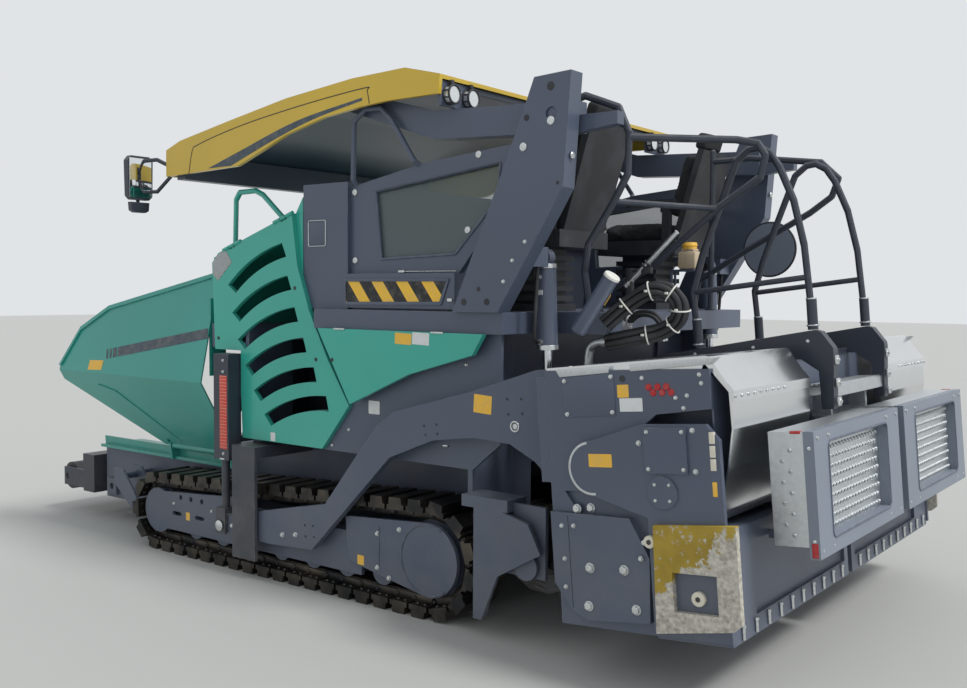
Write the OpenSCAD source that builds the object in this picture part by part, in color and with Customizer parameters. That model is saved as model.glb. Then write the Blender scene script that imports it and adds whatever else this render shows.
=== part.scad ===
// Asphalt paver on tracks. Millimetres, +X to the hopper, +Y to the left side, +Z up.
// Ground is z = 0. The frame's origin is the ground point under the middle of the whole length.

/* [Placement] */
// angle the screed is raised by in the stored pose
raise_deg = 5; // [0:0.5:7]
// clearance kept between pieces that move past each other
gap = 6; // [5:1:20]
// running clearance of a round pin in its bore
run = 0.3; // [0.1:0.1:0.6]

/* [Tracks] */
// distance from idler axle to sprocket axle
axle_dist = 2430; // [2000:10:3000]
// middle plane of a track from the machine's middle
track_y = 1087; // [900:1:1300]
// width of a track shoe
shoe_w = 295; // [200:5:400]
// height of a shoe with its pad
shoe_h = 60; // [40:1:90]
// number of shoes in one track
shoe_n = 45; // [30:1:60]
// radius of the shoes' inner line round the idler
idler_r = 200; // [150:5:300]
// radius of the shoes' inner line round the sprocket
sprocket_r = 260; // [200:5:350]
// depth of the chain inside the shoes
chain_h = 50; // [30:1:80]
// height of the wheels' arcs over the bottom run
arc_lift = 4; // [2:1:10]
// width of the chain
chain_w = 150; // [100:5:220]
// radius of a bottom roller
roller_r = 75; // [50:1:100]
// number of bottom rollers
roller_n = 7; // [4:1:9]

/* [Chassis] */
// gap between the tunnel body and a track
body_gap = 89.5; // [60:0.5:150]
// thickness of the body's plates
plate_t = 30; // [10:1:50]
// rear end of the tunnel body
body_x0 = -1450; // [-1600:5:-1300]
// rear side of the hopper
hopper_x0 = 660; // [600:5:750]
// front end of the hopper's frame
front_x = 2330; // [2100:5:2500]
// lowest side of the body
body_z0 = 170; // [120:5:300]
// top of the low front frame
front_z = 560; // [450:5:650]
// half width of the conveyor tunnel
tunnel_y = 620; // [500:5:700]
// roof of the conveyor tunnel under the engine
tunnel_z = 800; // [700:5:850]
// radius of the lashing holes
lash_r = 25; // [15:1:35]

/* [Platform] */
// rear end of the wide deck
deck_x0 = -1690; // [-1800:5:-1500]
// front end of the deck
deck_x1 = -330; // [-400:5:-200]
// rear end of the narrow deck
deck_xr = -2050; // [-2200:5:-1900]
// underside of the deck
deck_z0 = 1540; // [1400:5:1700]
// top of the deck
deck_z1 = 1650; // [1550:5:1800]
// half width of the deck
deck_y = 1220; // [1100:5:1260]
// outer face of the window frames
frame_y = 1150; // [1050:5:1200]

/* [Hopper wings] */
// hinge line of a wing from the middle
wing_y = 960; // [850:5:1000]
// height of the wing hinge
wing_z = 660; // [600:5:750]
// widest line of the folded wing
wing_out_y = 1250; // [1150:5:1270]
// height of the widest line
wing_mid_z = 1160; // [1000:5:1300]
// sheet thickness of the wings
wing_t = 10; // [6:1:20]
// rear end of the wings
wing_x0 = 690; // [670:5:760]
// front ear of the wing's hinge
wing_ear_x = 1380; // [1200:5:1400]

/* [Roof] */
// half width of the roof
roof_y = 1250; // [1100:5:1275]
// thickness of the roof shell
roof_t = 25; // [15:1:50]
// pivot of the roof beams, along the machine
roof_px = -1990; // [-2100:5:-1900]
// pivot of the roof beams, height
roof_pz = 2600; // [2500:5:2700]

/* [Screed] */
// pin of the tow arms, along the machine
tow_x = 420; // [300:5:500]
// pin of the tow arms, height
tow_z = 290; // [200:5:400]
// gap between a track and a tow arm
arm_gap = 7.5; // [6:0.5:20]
// thickness of a tow arm
arm_t = 46; // [30:1:70]
// half width of the basic screed
screed_y = 1440; // [1200:5:1500]
// front of the screed
screed_x1 = -2180; // [-2300:5:-2100]
// rear of the basic screed's lower part
screed_xm = -2680; // [-2750:5:-2600]
// rear of the screed's upper part
screed_x0 = -2950; // [-3000:5:-2900]
// lowest side of the screed when it is lowered
screed_z0 = 10; // [6:1:40]
// telescopic tube, along the machine
tele_x = -2420; // [-2500:5:-2300]
// telescopic tube, height when lowered
tele_z = 732; // [700:1:850]
// radius of the telescopic tube
tele_r = 95; // [60:1:130]

/* [Cylinders] */
// lift cylinder from the middle
lift_y = 950; // [900:5:1050]
// top pin of a lift cylinder, along the machine
lift_x = -1760; // [-1850:5:-1700]
// top pin of a lift cylinder, height
lift_z = 1930; // [1850:5:2000]
// rod eye of a lift cylinder, along the machine
eye_x = -1790; // [-1900:5:-1700]
// rod eye of a lift cylinder, height
eye_z = 1150; // [1050:5:1250]
// radius of the cylinder's housing
lift_r = 55; // [40:1:70]

/* [Push rollers] */
// radius of a push roller
push_r = 105; // [80:1:130]
// roller axle ahead of the frame's front
push_ahead = 450; // [380:5:520]
// height of the roller axle
push_z = 280; // [200:5:350]
// half length of the push beam
push_y = 950; // [800:5:1000]

/* [Walkway] */
// rear side of the folded walkway
walk_x0 = -3330; // [-3400:5:-3250]
// lower side of the folded walkway's guard frame
walk_z0 = 345; // [330:5:400]
// upper side of the folded walkway
walk_z1 = 869; // [800:1:900]
// outer end of a walkway half
walk_y1 = 1220; // [1150:5:1300]
// hinge of the walkway, along the machine
hinge_x = -3110; // [-3130:1:-3090]
// hinge of the walkway, height
hinge_z = 400; // [385:1:420]

/* [Stairs] */
// middle plane of a stair cheek
cheek_y = 400; // [380:5:420]
// thickness of a stair cheek
cheek_t = 60; // [40:1:80]
// radius of rails and hoops
rail_r = 19; // [15:1:25]

/* [Louvres] */
// number of slots in a side door
slot_n = 6; // [4:1:7]
// length of a slot
slot_len = 560; // [500:5:600]
// width of a slot
slot_h = 88; // [60:1:100]
// radius of a slot's upper curve
slot_r = 1070; // [900:10:1400]

/* [Hidden] */
front_end = front_x + push_ahead + push_r;
rear_end = tow_x + (walk_x0 - tow_x) * cos(raise_deg) + (walk_z0 - tow_z) * sin(raise_deg);
// middle of the tracks ahead of the middle of the whole length
shift_x = -(front_end + rear_end) / 2;
// half width of the tunnel body between the tracks
body_y = track_y - shoe_w / 2 - body_gap;
// inner side of a tow arm
arm_y0 = track_y + shoe_w / 2 + arm_gap;
// outer faces of the skirts and of the side doors
skirt_y = arm_y0 - 67;
door_y = skirt_y + 30;
d2 = axle_dist / 2;
zi = shoe_h + idler_r + arc_lift;
zs = shoe_h + sprocket_r + arc_lift;
tip = 2 * atan((zs - zi) / axle_dist);
len_i = idler_r * (180 - tip) * PI / 180;
len_s = sprocket_r * (180 + tip) * PI / 180;
path_len = 2 * axle_dist + len_i + len_s;
shoe_pitch = path_len / shoe_n;

// node to draw

// shape in the length and height plane, drawn out towards the middle from y1
module xz(y1, t) translate([0, y1, 0]) rotate([90, 0, 0]) linear_extrude(t) children();
// shape in the width and height plane, drawn out to the front from x0
module yz(x0, len) translate([x0, 0, 0]) rotate([90, 0, 90]) linear_extrude(len) children();
module box(x0, x1, y0, y1, z0, z1) translate([x0, y0, z0]) cube([x1 - x0, y1 - y0, z1 - z0]);
module bar_y(x, z, r, y0, y1) translate([x, y0, z]) rotate([-90, 0, 0]) cylinder(r = r, h = y1 - y0);
module bar_z(x, y, r, z0, z1) translate([x, y, z0]) cylinder(r = r, h = z1 - z0);
module both() {
    children();
    mirror([0, 1, 0]) children();
}
module right() mirror([0, 1, 0]) children();
module placed() translate([shift_x, 0, 0]) children();
// the screed is drawn lowered and turned up about the tow pins
module raised() translate([shift_x + tow_x, 0, tow_z]) rotate([0, raise_deg, 0])
    translate([-tow_x, 0, -tow_z]) children();
// bent tube through a list of points
module tube(pts, r) for (i = [0:len(pts) - 2]) hull() {
    translate(pts[i]) sphere(r = r, $fn = 8);
    translate(pts[i + 1]) sphere(r = r, $fn = 8);
}

// point on the track's path at length s: x, z, direction
function path_at(s) =
    s < axle_dist ? [s - d2, shoe_h, 0]
    : s < axle_dist + len_i ? arc_at(d2, zi, idler_r, (s - axle_dist) / len_i * (180 - tip))
    : s < 2 * axle_dist + len_i ? top_at(s - axle_dist - len_i)
    : arc_at(-d2, zs, sprocket_r, 180 - tip + (s - 2 * axle_dist - len_i) / len_s * (180 + tip));
function arc_at(x, z, r, a) = [x + r * sin(a), z - r * cos(a), a];
function top_at(u) = [d2 + idler_r * sin(tip) - u * cos(tip),
    zi + idler_r * cos(tip) + u * sin(tip), 180 - tip];

module belt_shape(inset) hull() {
    translate([d2, zi]) flat_circle(idler_r - inset);
    translate([-d2, zs]) flat_circle(sprocket_r - inset);
}
// many-sided ring whose flats lie at radius r
module flat_circle(r) rotate(180 / 32) circle(r = r / cos(180 / 32), $fn = 32);
module shoe_shape() polygon([[-62, 8], [62, 8], [62, -20], [48, -20], [42, -shoe_h],
    [-42, -shoe_h], [-48, -20], [-62, -20]]);
module track() {
    xz(track_y + shoe_w / 2, shoe_w) for (i = [0:shoe_n - 1]) {
        p = path_at((i + 0.5) * shoe_pitch);
        translate([p[0], p[1]]) rotate(p[2]) shoe_shape();
    }
    xz(track_y + chain_w / 2, chain_w) difference() {
        belt_shape(0);
        belt_shape(chain_h);
    }
}
module track_left() color("#26282b") placed() track();
module track_right() color("#26282b") placed() right() track();

module crawler_frame() {
    box(-1000, 1100, track_y - 100, track_y + 75, 200, 400);
    // guard plate outside the rollers
    xz(track_y + 118, 24) difference() {
        union() {
            translate([-700, 150]) square([700 + d2, 240]);
            polygon([[310, 380], [310, 462], [760, 425], [1215, 395], [1215, 380]]);
            translate([d2, zi]) circle(r = 150);
        }
        for (x = [745, 860, 968]) translate([x, 378]) circle(r = 17);
        for (x = [735, 975]) {
            translate([x, 252]) square([70, 26]);
            for (u = [0, 70]) translate([x + u, 265]) circle(r = 13);
        }
    }
    for (i = [0:roller_n - 1]) {
        rx = -840 + i * 1680 / (roller_n - 1);
        bar_y(rx, shoe_h + arc_lift + chain_h + roller_r + run, roller_r, track_y - 75, track_y + 95);
    }
    bar_y(d2, zi, idler_r - chain_h - run, track_y - 60, track_y + 60);
    bar_y(-d2, zs, sprocket_r - chain_h - run, track_y - 60, track_y + 60);
    bar_y(d2, zi, 50, track_y - 110, track_y + 118);
    bar_y(-d2, zs, 110, track_y - 110, track_y + 118);
    // cover of the track drive
    xz(track_y + 145, 27) {
        translate([-d2, zs]) circle(r = 200);
        polygon([[-d2, zs + 200], [-d2, zs - 200], [-620, 230], [-600, 480]]);
    }
    // arms to the tunnel body
    for (ax = [-900, -200, 440]) box(ax, ax + 160, body_y, track_y - 90, 230, 380);
}
module crawler_frame_left() color("#3d434e") placed() crawler_frame();
module crawler_frame_right() color("#3d434e") placed() right() crawler_frame();

// opening behind the louvres of a side door
module louvre_opening() polygon([[560, 1430], [560, 1860], [-80, 2080], [-120, 1890], [-215, 1620],
    [-370, 1340], [-510, 1110], [-370, 910], [290, 910], [315, 1200], [318, 1430]]);
module chassis() color("#3d434e") placed() {
    difference() {
        union() {
            box(body_x0, hopper_x0, -body_y, body_y, body_z0 + 60, deck_z0);
            box(hopper_x0, front_x, -body_y - 40, body_y + 40, body_z0, front_z);
            // fork for the push beam's pivot
            for (z = [200, 330]) box(front_x - 1, front_x + 90, -80, 80, z, z + 25);
        }
        // hollow for the engine and the tanks
        box(body_x0 + plate_t, hopper_x0 - plate_t, -body_y + plate_t, body_y - plate_t,
            tunnel_z + 60, deck_z0 - plate_t);
        // side openings behind the louvres
        box(-420, 480, -body_y - 1, body_y + 1, 940, 1440);
        // conveyor tunnel and the open trough in the hopper
        box(body_x0 - 10, hopper_x0 + 1, -tunnel_y, tunnel_y, body_z0 + 130, tunnel_z);
        box(hopper_x0, front_x - 200, -tunnel_y, tunnel_y, body_z0 + 130, front_z + 1);
        box(front_x - 201, front_x + 10, -tunnel_y, tunnel_y, front_z - 120, front_z + 1);
        bar_z(front_x + 50, 0, 20 + run, 190, 365);
    }
    both() {
        // lashing plates at the front
        xz(body_y + 40 + 25, 26) difference() {
            translate([front_x - 160, 200]) square([120, 120]);
            translate([front_x - 100, 260]) circle(r = lash_r);
        }
        // skirts outside the tracks, and the walls that carry them
        xz(skirt_y, 20) difference() {
            polygon([[body_x0 - 20, 830], [-1650, 980], [-1650, deck_z0], [640, deck_z0], [640, 1390],
                [360, 1390], [330, 830]]);
            louvre_opening();
        }
        box(body_x0 - 20, body_x0 + 10, body_y - plate_t, skirt_y, 660, deck_z0);
        box(300, 330, body_y - plate_t, skirt_y, 840, deck_z0);
        box(640, hopper_x0, body_y - plate_t, skirt_y, 1390, deck_z0);
        // scrapers ahead of the idlers
        for (y = [track_y - 90, track_y + 60]) xz(y + 16, 16)
            polygon([[1700, 480], [1810, 480], [1800, 370], [1560, 190], [1496, 240], [1560, 330]]);
        bar_y(1755, 420, 24, body_y + 39, track_y + 76);
    }
}
module engine_block() color("#555a60") placed()
    box(-250, 480, -520, 520, tunnel_z + 60, 1420);
module conveyor() color("#33363a") placed() {
    both() box(body_x0 - 200, front_x - 220, 20, tunnel_y - 10, 420, 450);
    box(body_x0 - 150, front_x - 240, -20, 20, body_z0 + 130, 520);
    both() for (i = [0:23]) translate([body_x0 - 190 + i * 155, 20, 450])
        cube([30, tunnel_y - 30, 24]);
}
module hopper_floor() color("#2f9390") placed() {
    both() box(hopper_x0 + 10, front_x - 20, tunnel_y - 20, wing_y - 10, front_z, front_z + 20);
    // inner slopes to the hinges
    both() {
        yz(wing_x0 + 20, front_x - wing_x0 - 40) polygon([[tunnel_y + 60, front_z + 20],
            [wing_y - 60, wing_z - 20], [wing_y - 46, wing_z - 20], [wing_y - 50, front_z + 20]]);
        for (x = [wing_x0 - 30, wing_ear_x]) wing_ear(x);
    }
}
// skin of a wing with its faces moved out by o
module wing_skin(o) yz(wing_x0, 1800) polygon([[wing_y - 4 - o, wing_z],
    [wing_out_y - wing_t - o, wing_mid_z], [1100 - wing_t - o, 1880], [1100 + o, 1880],
    [wing_out_y + o, wing_mid_z], [wing_y + 8 + o, wing_z]]);
module wing_outline() polygon([[600, 640], [1420, 640], [2360, 1090], [2360, 1200], [2165, 1480],
    [1850, 1638], [640, 1880], [600, 1880]]);
module wing() difference() {
    union() {
        intersection() {
            wing_skin(0);
            xz(wing_out_y + 10, 400) wing_outline();
        }
        // folded lip along the rim
        intersection() {
            wing_skin(12);
            xz(wing_out_y + 20, 400) difference() {
                wing_outline();
                translate([-8, -26]) wing_outline();
                square([2400, 1195]);
            }
        }
        // pressed rib of the lower panel
        intersection() {
            wing_skin(7);
            xz(wing_out_y + 20, 400)
                polygon([[1930, 1075], [1740, 1035], [1240, 700], [1440, 680]]);
        }
        // rear wall
        xz(1165, 120) polygon([[wing_x0, 1200], [wing_x0 + 18, 1200], [wing_x0 + 18, 1700],
            [wing_x0, 1700]]);
        translate([wing_x0, wing_y, wing_z]) rotate([0, 90, 0]) cylinder(r = 22, h = wing_ear_x - wing_x0 - 10);
        translate([wing_x0 - 34, wing_y, wing_z]) rotate([0, 90, 0])
            cylinder(r = 14, h = wing_ear_x - wing_x0 + 60);
    }
    translate([wing_ear_x - gap, wing_y - 60, wing_z - 60]) difference() {
        cube([20 + 2 * gap, 110, 105]);
        translate([-1, 60, 60]) rotate([0, 90, 0]) cylinder(r = 14, h = 50);
    }
}
// ear that carries a wing's hinge pin
module wing_ear(x) difference() {
    yz(x, 20) polygon([[wing_y - 60, front_z + 20], [wing_y - 28, wing_z + 18], [wing_y - 10, wing_z + 28],
        [wing_y + 10, wing_z + 28], [wing_y + 28, wing_z + 10], [wing_y + 10, front_z],
        [wing_y - 60, front_z]]);
    translate([x - 1, wing_y, wing_z]) rotate([0, 90, 0]) cylinder(r = 14 + run, h = 22);
}
module hopper_wing_left() color("#2f9390") placed() wing();
module hopper_wing_right() color("#2f9390") placed() right() wing();

module push_beam() color("#2c303b") placed() difference() {
    union() {
        difference() {
            box(front_x + 80, front_x + 230, -push_y, push_y, 190, 480);
            box(front_x + 79, front_x + 115, -140, 140, 189, 380);
        }
        box(front_x + 20, front_x + 116, -50, 50, 231, 324);
        bar_z(front_x + 50, 0, 20, 200, 355);
        both() for (y = [250, push_y - 30])
            box(front_x + 200, front_x + push_ahead + 50, y, y + 30, 210, 350);
    }
    both() bar_y(front_x + push_ahead, push_z, 25 + run, 240, push_y + 10);
}
module push_roller() {
    bar_y(front_x + push_ahead, push_z, push_r, 280 + gap, push_y - 30 - gap);
    bar_y(front_x + push_ahead, push_z, 25, 255, push_y - 5);
}
module push_roller_left() color("#4a4d52") placed() push_roller();
module push_roller_right() color("#4a4d52") placed() right() push_roller();

// frame of the door's slanted hinge: z along it, x away from the door
module at_hinge() translate([640, 0, 1960]) rotate([0, -72, 0]) children();
module knuckle(d0, d1, r = 11) at_hinge() translate([0, door_y, d0]) cylinder(r = r, h = d1 - d0);
module hood() color("#3a9c8a") placed() {
    difference() {
        xz(skirt_y, 2 * skirt_y) polygon([[640, deck_z0], [640, 1960], [-130, 2210], [-190, 2300],
            [-190, deck_z0]]);
        xz(skirt_y - 20, 2 * skirt_y - 40) polygon([[615, 1200], [615, 1935], [-130, 2180],
            [-200, 2270], [-200, 1200]]);
        both() xz(skirt_y + 1, 22) louvre_opening();
    }
    // fixed knuckles of the side doors
    both() for (d = [140, 640]) {
        knuckle(d + 66, d + 110);
        at_hinge() box(5, 9, skirt_y - 25, door_y - 4, d + 66, d + 110);
        at_hinge() box(-2, 6, skirt_y - 25, skirt_y - 1, d + 66, d + 110);
    }
}
module grab_rails() color("#3a9c8a") placed() both() tube([[520, 1100, 2017.4],
    [508, 1100, 2325], [470, 1100, 2370], [320, 1100, 2372], [250, 1100, 2343], [40, 1100, 2173.2]], 17);
// louvre slot: origin at its rear upper corner, x along its chord to the front
module slot() intersection() {
    translate([slot_len / 2, 38 - slot_r]) difference() {
        circle(r = slot_r);
        circle(r = slot_r - slot_h);
    }
    polygon([[-1, 50], [3, -140], [slot_len - 75, -140], [slot_len + 27, 50]]);
}
// guide blade under a slot
module blade() intersection() {
    translate([slot_len / 2, 38 - slot_r]) difference() {
        circle(r = slot_r - slot_h + 2);
        circle(r = slot_r - slot_h - 8);
    }
    polygon([[3, 0], [3, -160], [slot_len - 75, -160], [slot_len - 40, 0]]);
}
module at_slot(i) translate([-40 - 40 * i - 7 * i * i, 2035 - 198 * i + 4 * i * i])
    rotate(-26.3 + 2.2 * i) children();
module side_door() {
    difference() {
        door_plate();
        for (d = [140, 640]) knuckle(d + 60, d + 116, 11 + gap);
    }
    for (i = [0:slot_n - 1]) xz(door_y - 29, 40) at_slot(i) blade();
    for (d = [140, 640]) {
        knuckle(d, d + 60);
        knuckle(d + 116, d + 176);
    }
}
module door_plate() xz(door_y, 30) difference() {
    polygon([[620, 1925], [560, 1986], [-125, 2208], [-174, 1897], [-271, 1640], [-430, 1357],
        [-600, 1104], [-381, 837], [330, 837], [345, 1130], [345, 1380], [595, 1380]]);
    for (i = [0:slot_n - 1]) at_slot(i) slot();
}
module side_door_left() color("#3a9c8a") placed() side_door();
module side_door_right() color("#3a9c8a") placed() right() side_door();
module fenders() color("#3a9c8a") placed() both() {
    xz(arm_y0 + 8, 34) polygon([[-390, deck_z0], [-1590, deck_z0], [-1520, 1430], [-1090, 1310],
        [-650, 1120]]);
    for (x = [-1440, -800]) box(x, x + 10, skirt_y, arm_y0 - 25, 1440, deck_z0);
}
module platform() color("#3d434e") placed() {
    box(deck_x0, deck_x1, -deck_y, deck_y, deck_z0, deck_z1);
    box(deck_xr, deck_x0 + 1, -820, 820, deck_z0, deck_z1);
}
module bulkhead() color("#3d434e") placed()
    box(-560, -196, -1175, 1175, deck_z1, 2370);
module window_shape() polygon([[-760, 2300], [-1620, 2400], [-1600, 2220], [-1330, 1950], [-800, 1930]]);
module window_frame() {
    difference() {
        xz(frame_y, 36) polygon([[-560, 2340], [-1120, 2440], [-1690, 2490], [-1690, 2240], [-1350, 1850],
            [-1350, deck_z1], [-560, deck_z1]]);
        xz(frame_y + 1, 40) window_shape();
    }
    box(-1360, -560, frame_y - 1, 1196, 1660, 1850);
    tube([[-603, frame_y - 18, 2335], [-605, 1175, 2380], [-613, 1175, 2699], [-702, 1175, 2761],
        [-818, 1175, 2756], [-894, 1175, 2686], [-1060, 1175, 2450], [-1075, frame_y - 18, 2420]], 16);
}
module window_frames() color("#3d434e") placed() both() window_frame();
module side_windows() color([0.4, 0.45, 0.48, 0.4]) placed() both() xz(frame_y - 14, 8) window_shape();

module roof_post() {
    xz(frame_y + 100, 100) polygon([[-1890, 2780], [-2100, 2790], [-2060, 2250], [-1680, deck_z1],
        [-1390, deck_z1], [-1800, 2560]]);
}
// lugs on the posts and pins for the lift cylinders
module lift_lugs() color("#3d434e") placed() both()
    box(lift_x - 60, lift_x + 60, lift_y + lift_r + gap, frame_y, lift_z - 50, lift_z + 50);
module lift_pins() color("#8a8d90") placed() both()
    bar_y(lift_x, lift_z, 20, lift_y - 40, lift_y + lift_r + gap);
module roof_posts() color("#3d434e") placed() both() difference() {
    roof_post();
    bar_y(roof_px, roof_pz, 30 + run, 1100, 1260);
}
module roof_frame() color("#3d434e") placed() {
    both() {
        xz(1140, 95) polygon([[-2060, 2520], [-2060, 2670], [-1170, 2710], [-600, 2867], [-500, 2867],
            [-500, 2780], [-1170, 2560]]);
        bar_y(roof_px, roof_pz, 30, 1139, 1240);
        xz(1130, 60) polygon([[-2060, 2520], [-2060, 2600], [-2280, 2600], [-2280, 2540]]);
    }
    // lining under the shell
    xz(roof_y - roof_t, 2 * (roof_y - roof_t)) polygon([[1000, 2640], [870, 2685], [390, 2765],
        [-130, 2845], [-670, 2895], [-1060, 2905], [-1270, 2850], [-1270, 2820], [-1060, 2875],
        [-670, 2865], [-130, 2815], [390, 2735], [870, 2655], [1000, 2610]]);
    // front cross beam
    box(900, 980, -1200, 1200, 2470, 2635);
    // panel that carries the work lamps
    both() box(-1286, -1269, 960, roof_y - roof_t, 2714, 2845);
}
module roof_shell() color("#d4b83f") placed() difference() {
    xz(roof_y, 2 * roof_y) polygon([[1030, 2660], [880, 2710], [390, 2790], [-130, 2870], [-670, 2920],
        [-1060, 2930], [-1300, 2870], [-1290, 2770], [-920, 2770], [-750, 2760], [-450, 2730],
        [-130, 2660], [130, 2570], [310, 2510], [1030, 2490]]);
    xz(roof_y - roof_t, 2 * (roof_y - roof_t)) polygon([[1000, 2640], [870, 2685], [390, 2765],
        [-130, 2845], [-670, 2895], [-1060, 2905], [-1310, 2845], [-1310, 2400], [1000, 2400]]);
}
module work_lamps() color("#d0d2d4") placed() both() for (y = [1000, 1160])
    translate([-1286, y, 2775]) rotate([0, -90, 0]) cylinder(r = 45, h = 40);
module mirrors() color("#2c303b") placed() {
    yz(1235, 45) polygon([[1215, 2370], [1240, 2345], [1370, 2345], [1395, 2370], [1400, 2600],
        [1375, 2632], [1235, 2632], [1210, 2600]]);
    yz(1240, 35) polygon([[1235, 2330], [1240, 2275], [1265, 2262], [1345, 2262], [1370, 2275],
        [1375, 2330]]);
    tube([[1046, 1200, 2560], [1150, 1235, 2610], [1275, 1300, 2600]], 13);
    tube([[1046, 1200, 2500], [1150, 1235, 2400], [1275, 1300, 2400]], 13);
    tube([[1275, 1300, 2600], [1275, 1300, 2300]], 13);
    box(1030, 1042, 1170, 1225, 2495, 2620);
}
module handrails() color("#3d434e") placed() {
    // loop beside the left entry, and the rails round its steps
    tube([[-1902, frame_y - 0.924 * rail_r - run, 2722], [-1915, 915, 2722], [-1961, 900, 2737], [-2153, 900, 2660],
        [-2212, 900, 2531], [-2208, 900, 2334], [-2131, 900, 2202], [-1986, 900, 1992],
        [-1935, 850, 1860], [-1930, 790, deck_z1 + 20]], rail_r);
    tube([[-2212, 900, 2510], [-2600, 520, 2510], [-2690, 470, 2490], [-2730, 470, 2430],
        [-2705, 470, 2325], [-2480, 470, 2180], [-2120, 470, 1893], [-1795, 470, 1739],
        [-1790, 470, deck_z1 + 20]], rail_r);
    tube([[-2131, 900, 2202], [-2480, 470, 2180]], rail_r - 3);
    // rail round the right entry
    tube([[-2010, -470, deck_z1 + 20], [-2010, -470, 2600]], rail_r);
    tube([[-2010, -470, 2545], [-2250, -470, 2550], [-2670, -470, 2495], [-2770, -470, 2400],
        [-2735, -470, 2300], [-2615, -470, 2215], [-2240, -470, 2010], [-1930, -470, 1830],
        [-1900, -470, deck_z1 + 20]], rail_r);
    for (f = [[-1930, 790], [-1790, 470], [-2010, -470], [-1900, -470]])
        bar_z(f[0], f[1], 32, deck_z1, deck_z1 + 10);
    // round guard on its arm from the right post
    tube([[-1960, 13.8 - frame_y, 2080], [-2190, -905, 2040]], 16);
    xz(-900, 10) translate([-2200, 2030]) circle(r = 170);
}
module seat() {
    box(-1640, -1330, 470, 810, deck_z1, 1690);
    // bellows of the seat's suspension
    box(-1600, -1370, 510, 770, 1689, 2000);
    for (i = [0:4]) box(-1630, -1340, 480, 800, 1705 + 55 * i, 1735 + 55 * i);
    box(-1800, -1250, 400, 880, 1990, 2080);
    // shell behind the back cushion, and the arm rests
    translate([-1745, 640, 2040]) rotate([0, -17, 0]) box(-40, 0, -200, 200, 0, 620);
    for (y = [395, 845]) {
        box(-1790, -1460, y, y + 40, 2290, 2330);
        box(-1760, -1710, y, y + 40, 2000, 2291);
    }
}
module seat_left() color("#1d1f22") placed() seat();
module seat_right() color("#1d1f22") placed() right() seat();
// cushions: seat, back and head rest
module cushion() {
    box(-1700, -1240, 440, 840, 2080, 2190);
    translate([-1745, 640, 2040]) rotate([0, -17, 0]) {
        box(0, 100, -200, 200, 160, 590);
        box(0, 90, -140, 140, 600, 730);
    }
}
module cushion_left() color("#26282c") placed() cushion();
module cushion_right() color("#26282c") placed() right() cushion();
module console() color("#2c303b") placed() {
    xz(260, 520) polygon([[-1080, deck_z1], [-1060, 2074], [-1330, 2150], [-1345, 2090],
        [-1250, 2000], [-1230, deck_z1]]);
    xz(330, 660) polygon([[-1030, 2095], [-1040, 2060], [-1360, 2150], [-1350, 2185]]);
}

module tow_cylinder() {
    rod_y = arm_y0 + 23;
    fork_y = arm_y0 + arm_t + gap;
    difference() {
        box(tow_x - 65, tow_x + 75, rod_y - 69, rod_y + 31, 700, 1360);
        bar_z(tow_x, rod_y, 26, 690, 1300);
    }
    bar_z(tow_x, rod_y, 26, 395, 1200);
    // fork at the rod's foot and the tow pin
    box(tow_x - 45, tow_x + 45, arm_y0 - 6, fork_y + 18, 366, 400);
    box(tow_x - 45, tow_x + 45, fork_y, fork_y + 18, 240, 367);
    bar_y(tow_x, tow_z, 35, arm_y0 - 4, fork_y + 1);
    // guide post
    box(80, 290, fork_y + 6, fork_y + 28, 120, 810);
    box(80, 290, body_y, fork_y + 7, 740, 810);
    // carrier of the housing
    box(tow_x - 65, tow_x + 60, body_y, rod_y - 68, 1000, 1080);
}
module tow_cylinders() color("#2c303b") placed() both() tow_cylinder();

module auger_housing() color("#3d434e") placed() difference() {
    auger_frame();
    both() bar_y(-1850, 400, 30 + run, 40, 1202);
}
module auger_frame() {
    box(-1860, body_x0 + 80, -70, 70, 600, 760);
    box(body_x0 - 40, body_x0 + 80, -70, 70, 759, tunnel_z);
    box(-1930, -1770, -70, 70, 300, 760);
    both() {
        // end bearing, its plate and the carrier
        box(-1760, body_x0 - 20, 1100, arm_y0 + 22, 660, 720);
        box(-1950, -1700, 1180, 1204, 340, 700);
        bar_y(-1850, 400, 70, 1204 - 40, arm_y0 - 6);
        // side shield with its folded front edge
        xz(arm_y0 + 22, 22) polygon([[-1560, 90], [-1560, 662], [-1720, 662], [-1884, 620],
            [-1960, 480], [-1700, 330], [-1600, 90]]);
        box(-1570, -1548, 1160, arm_y0 + 22, 90, 662);
    }
}
module auger() {
    bar_y(-1850, 400, 38, 70 + gap, 1164 - gap);
    bar_y(-1850, 400, 30, 45, 1196);
    translate([-1850, 70 + gap + 10, 400]) rotate([-90, 0, 0])
        linear_extrude(height = 1164 - 70 - 2 * gap - 20, twist = 900, slices = 30)
        polygon([[-180, -8], [180, -8], [180, 8], [-180, 8]]);
}
module auger_left() color("#55585c") placed() auger();
module auger_right() color("#55585c") placed() right() auger();

lift_len = sqrt(pow(lift_x - eye_x, 2) + pow(lift_z - eye_z, 2));
lift_ang = atan((lift_x - eye_x) / (lift_z - eye_z));
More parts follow.
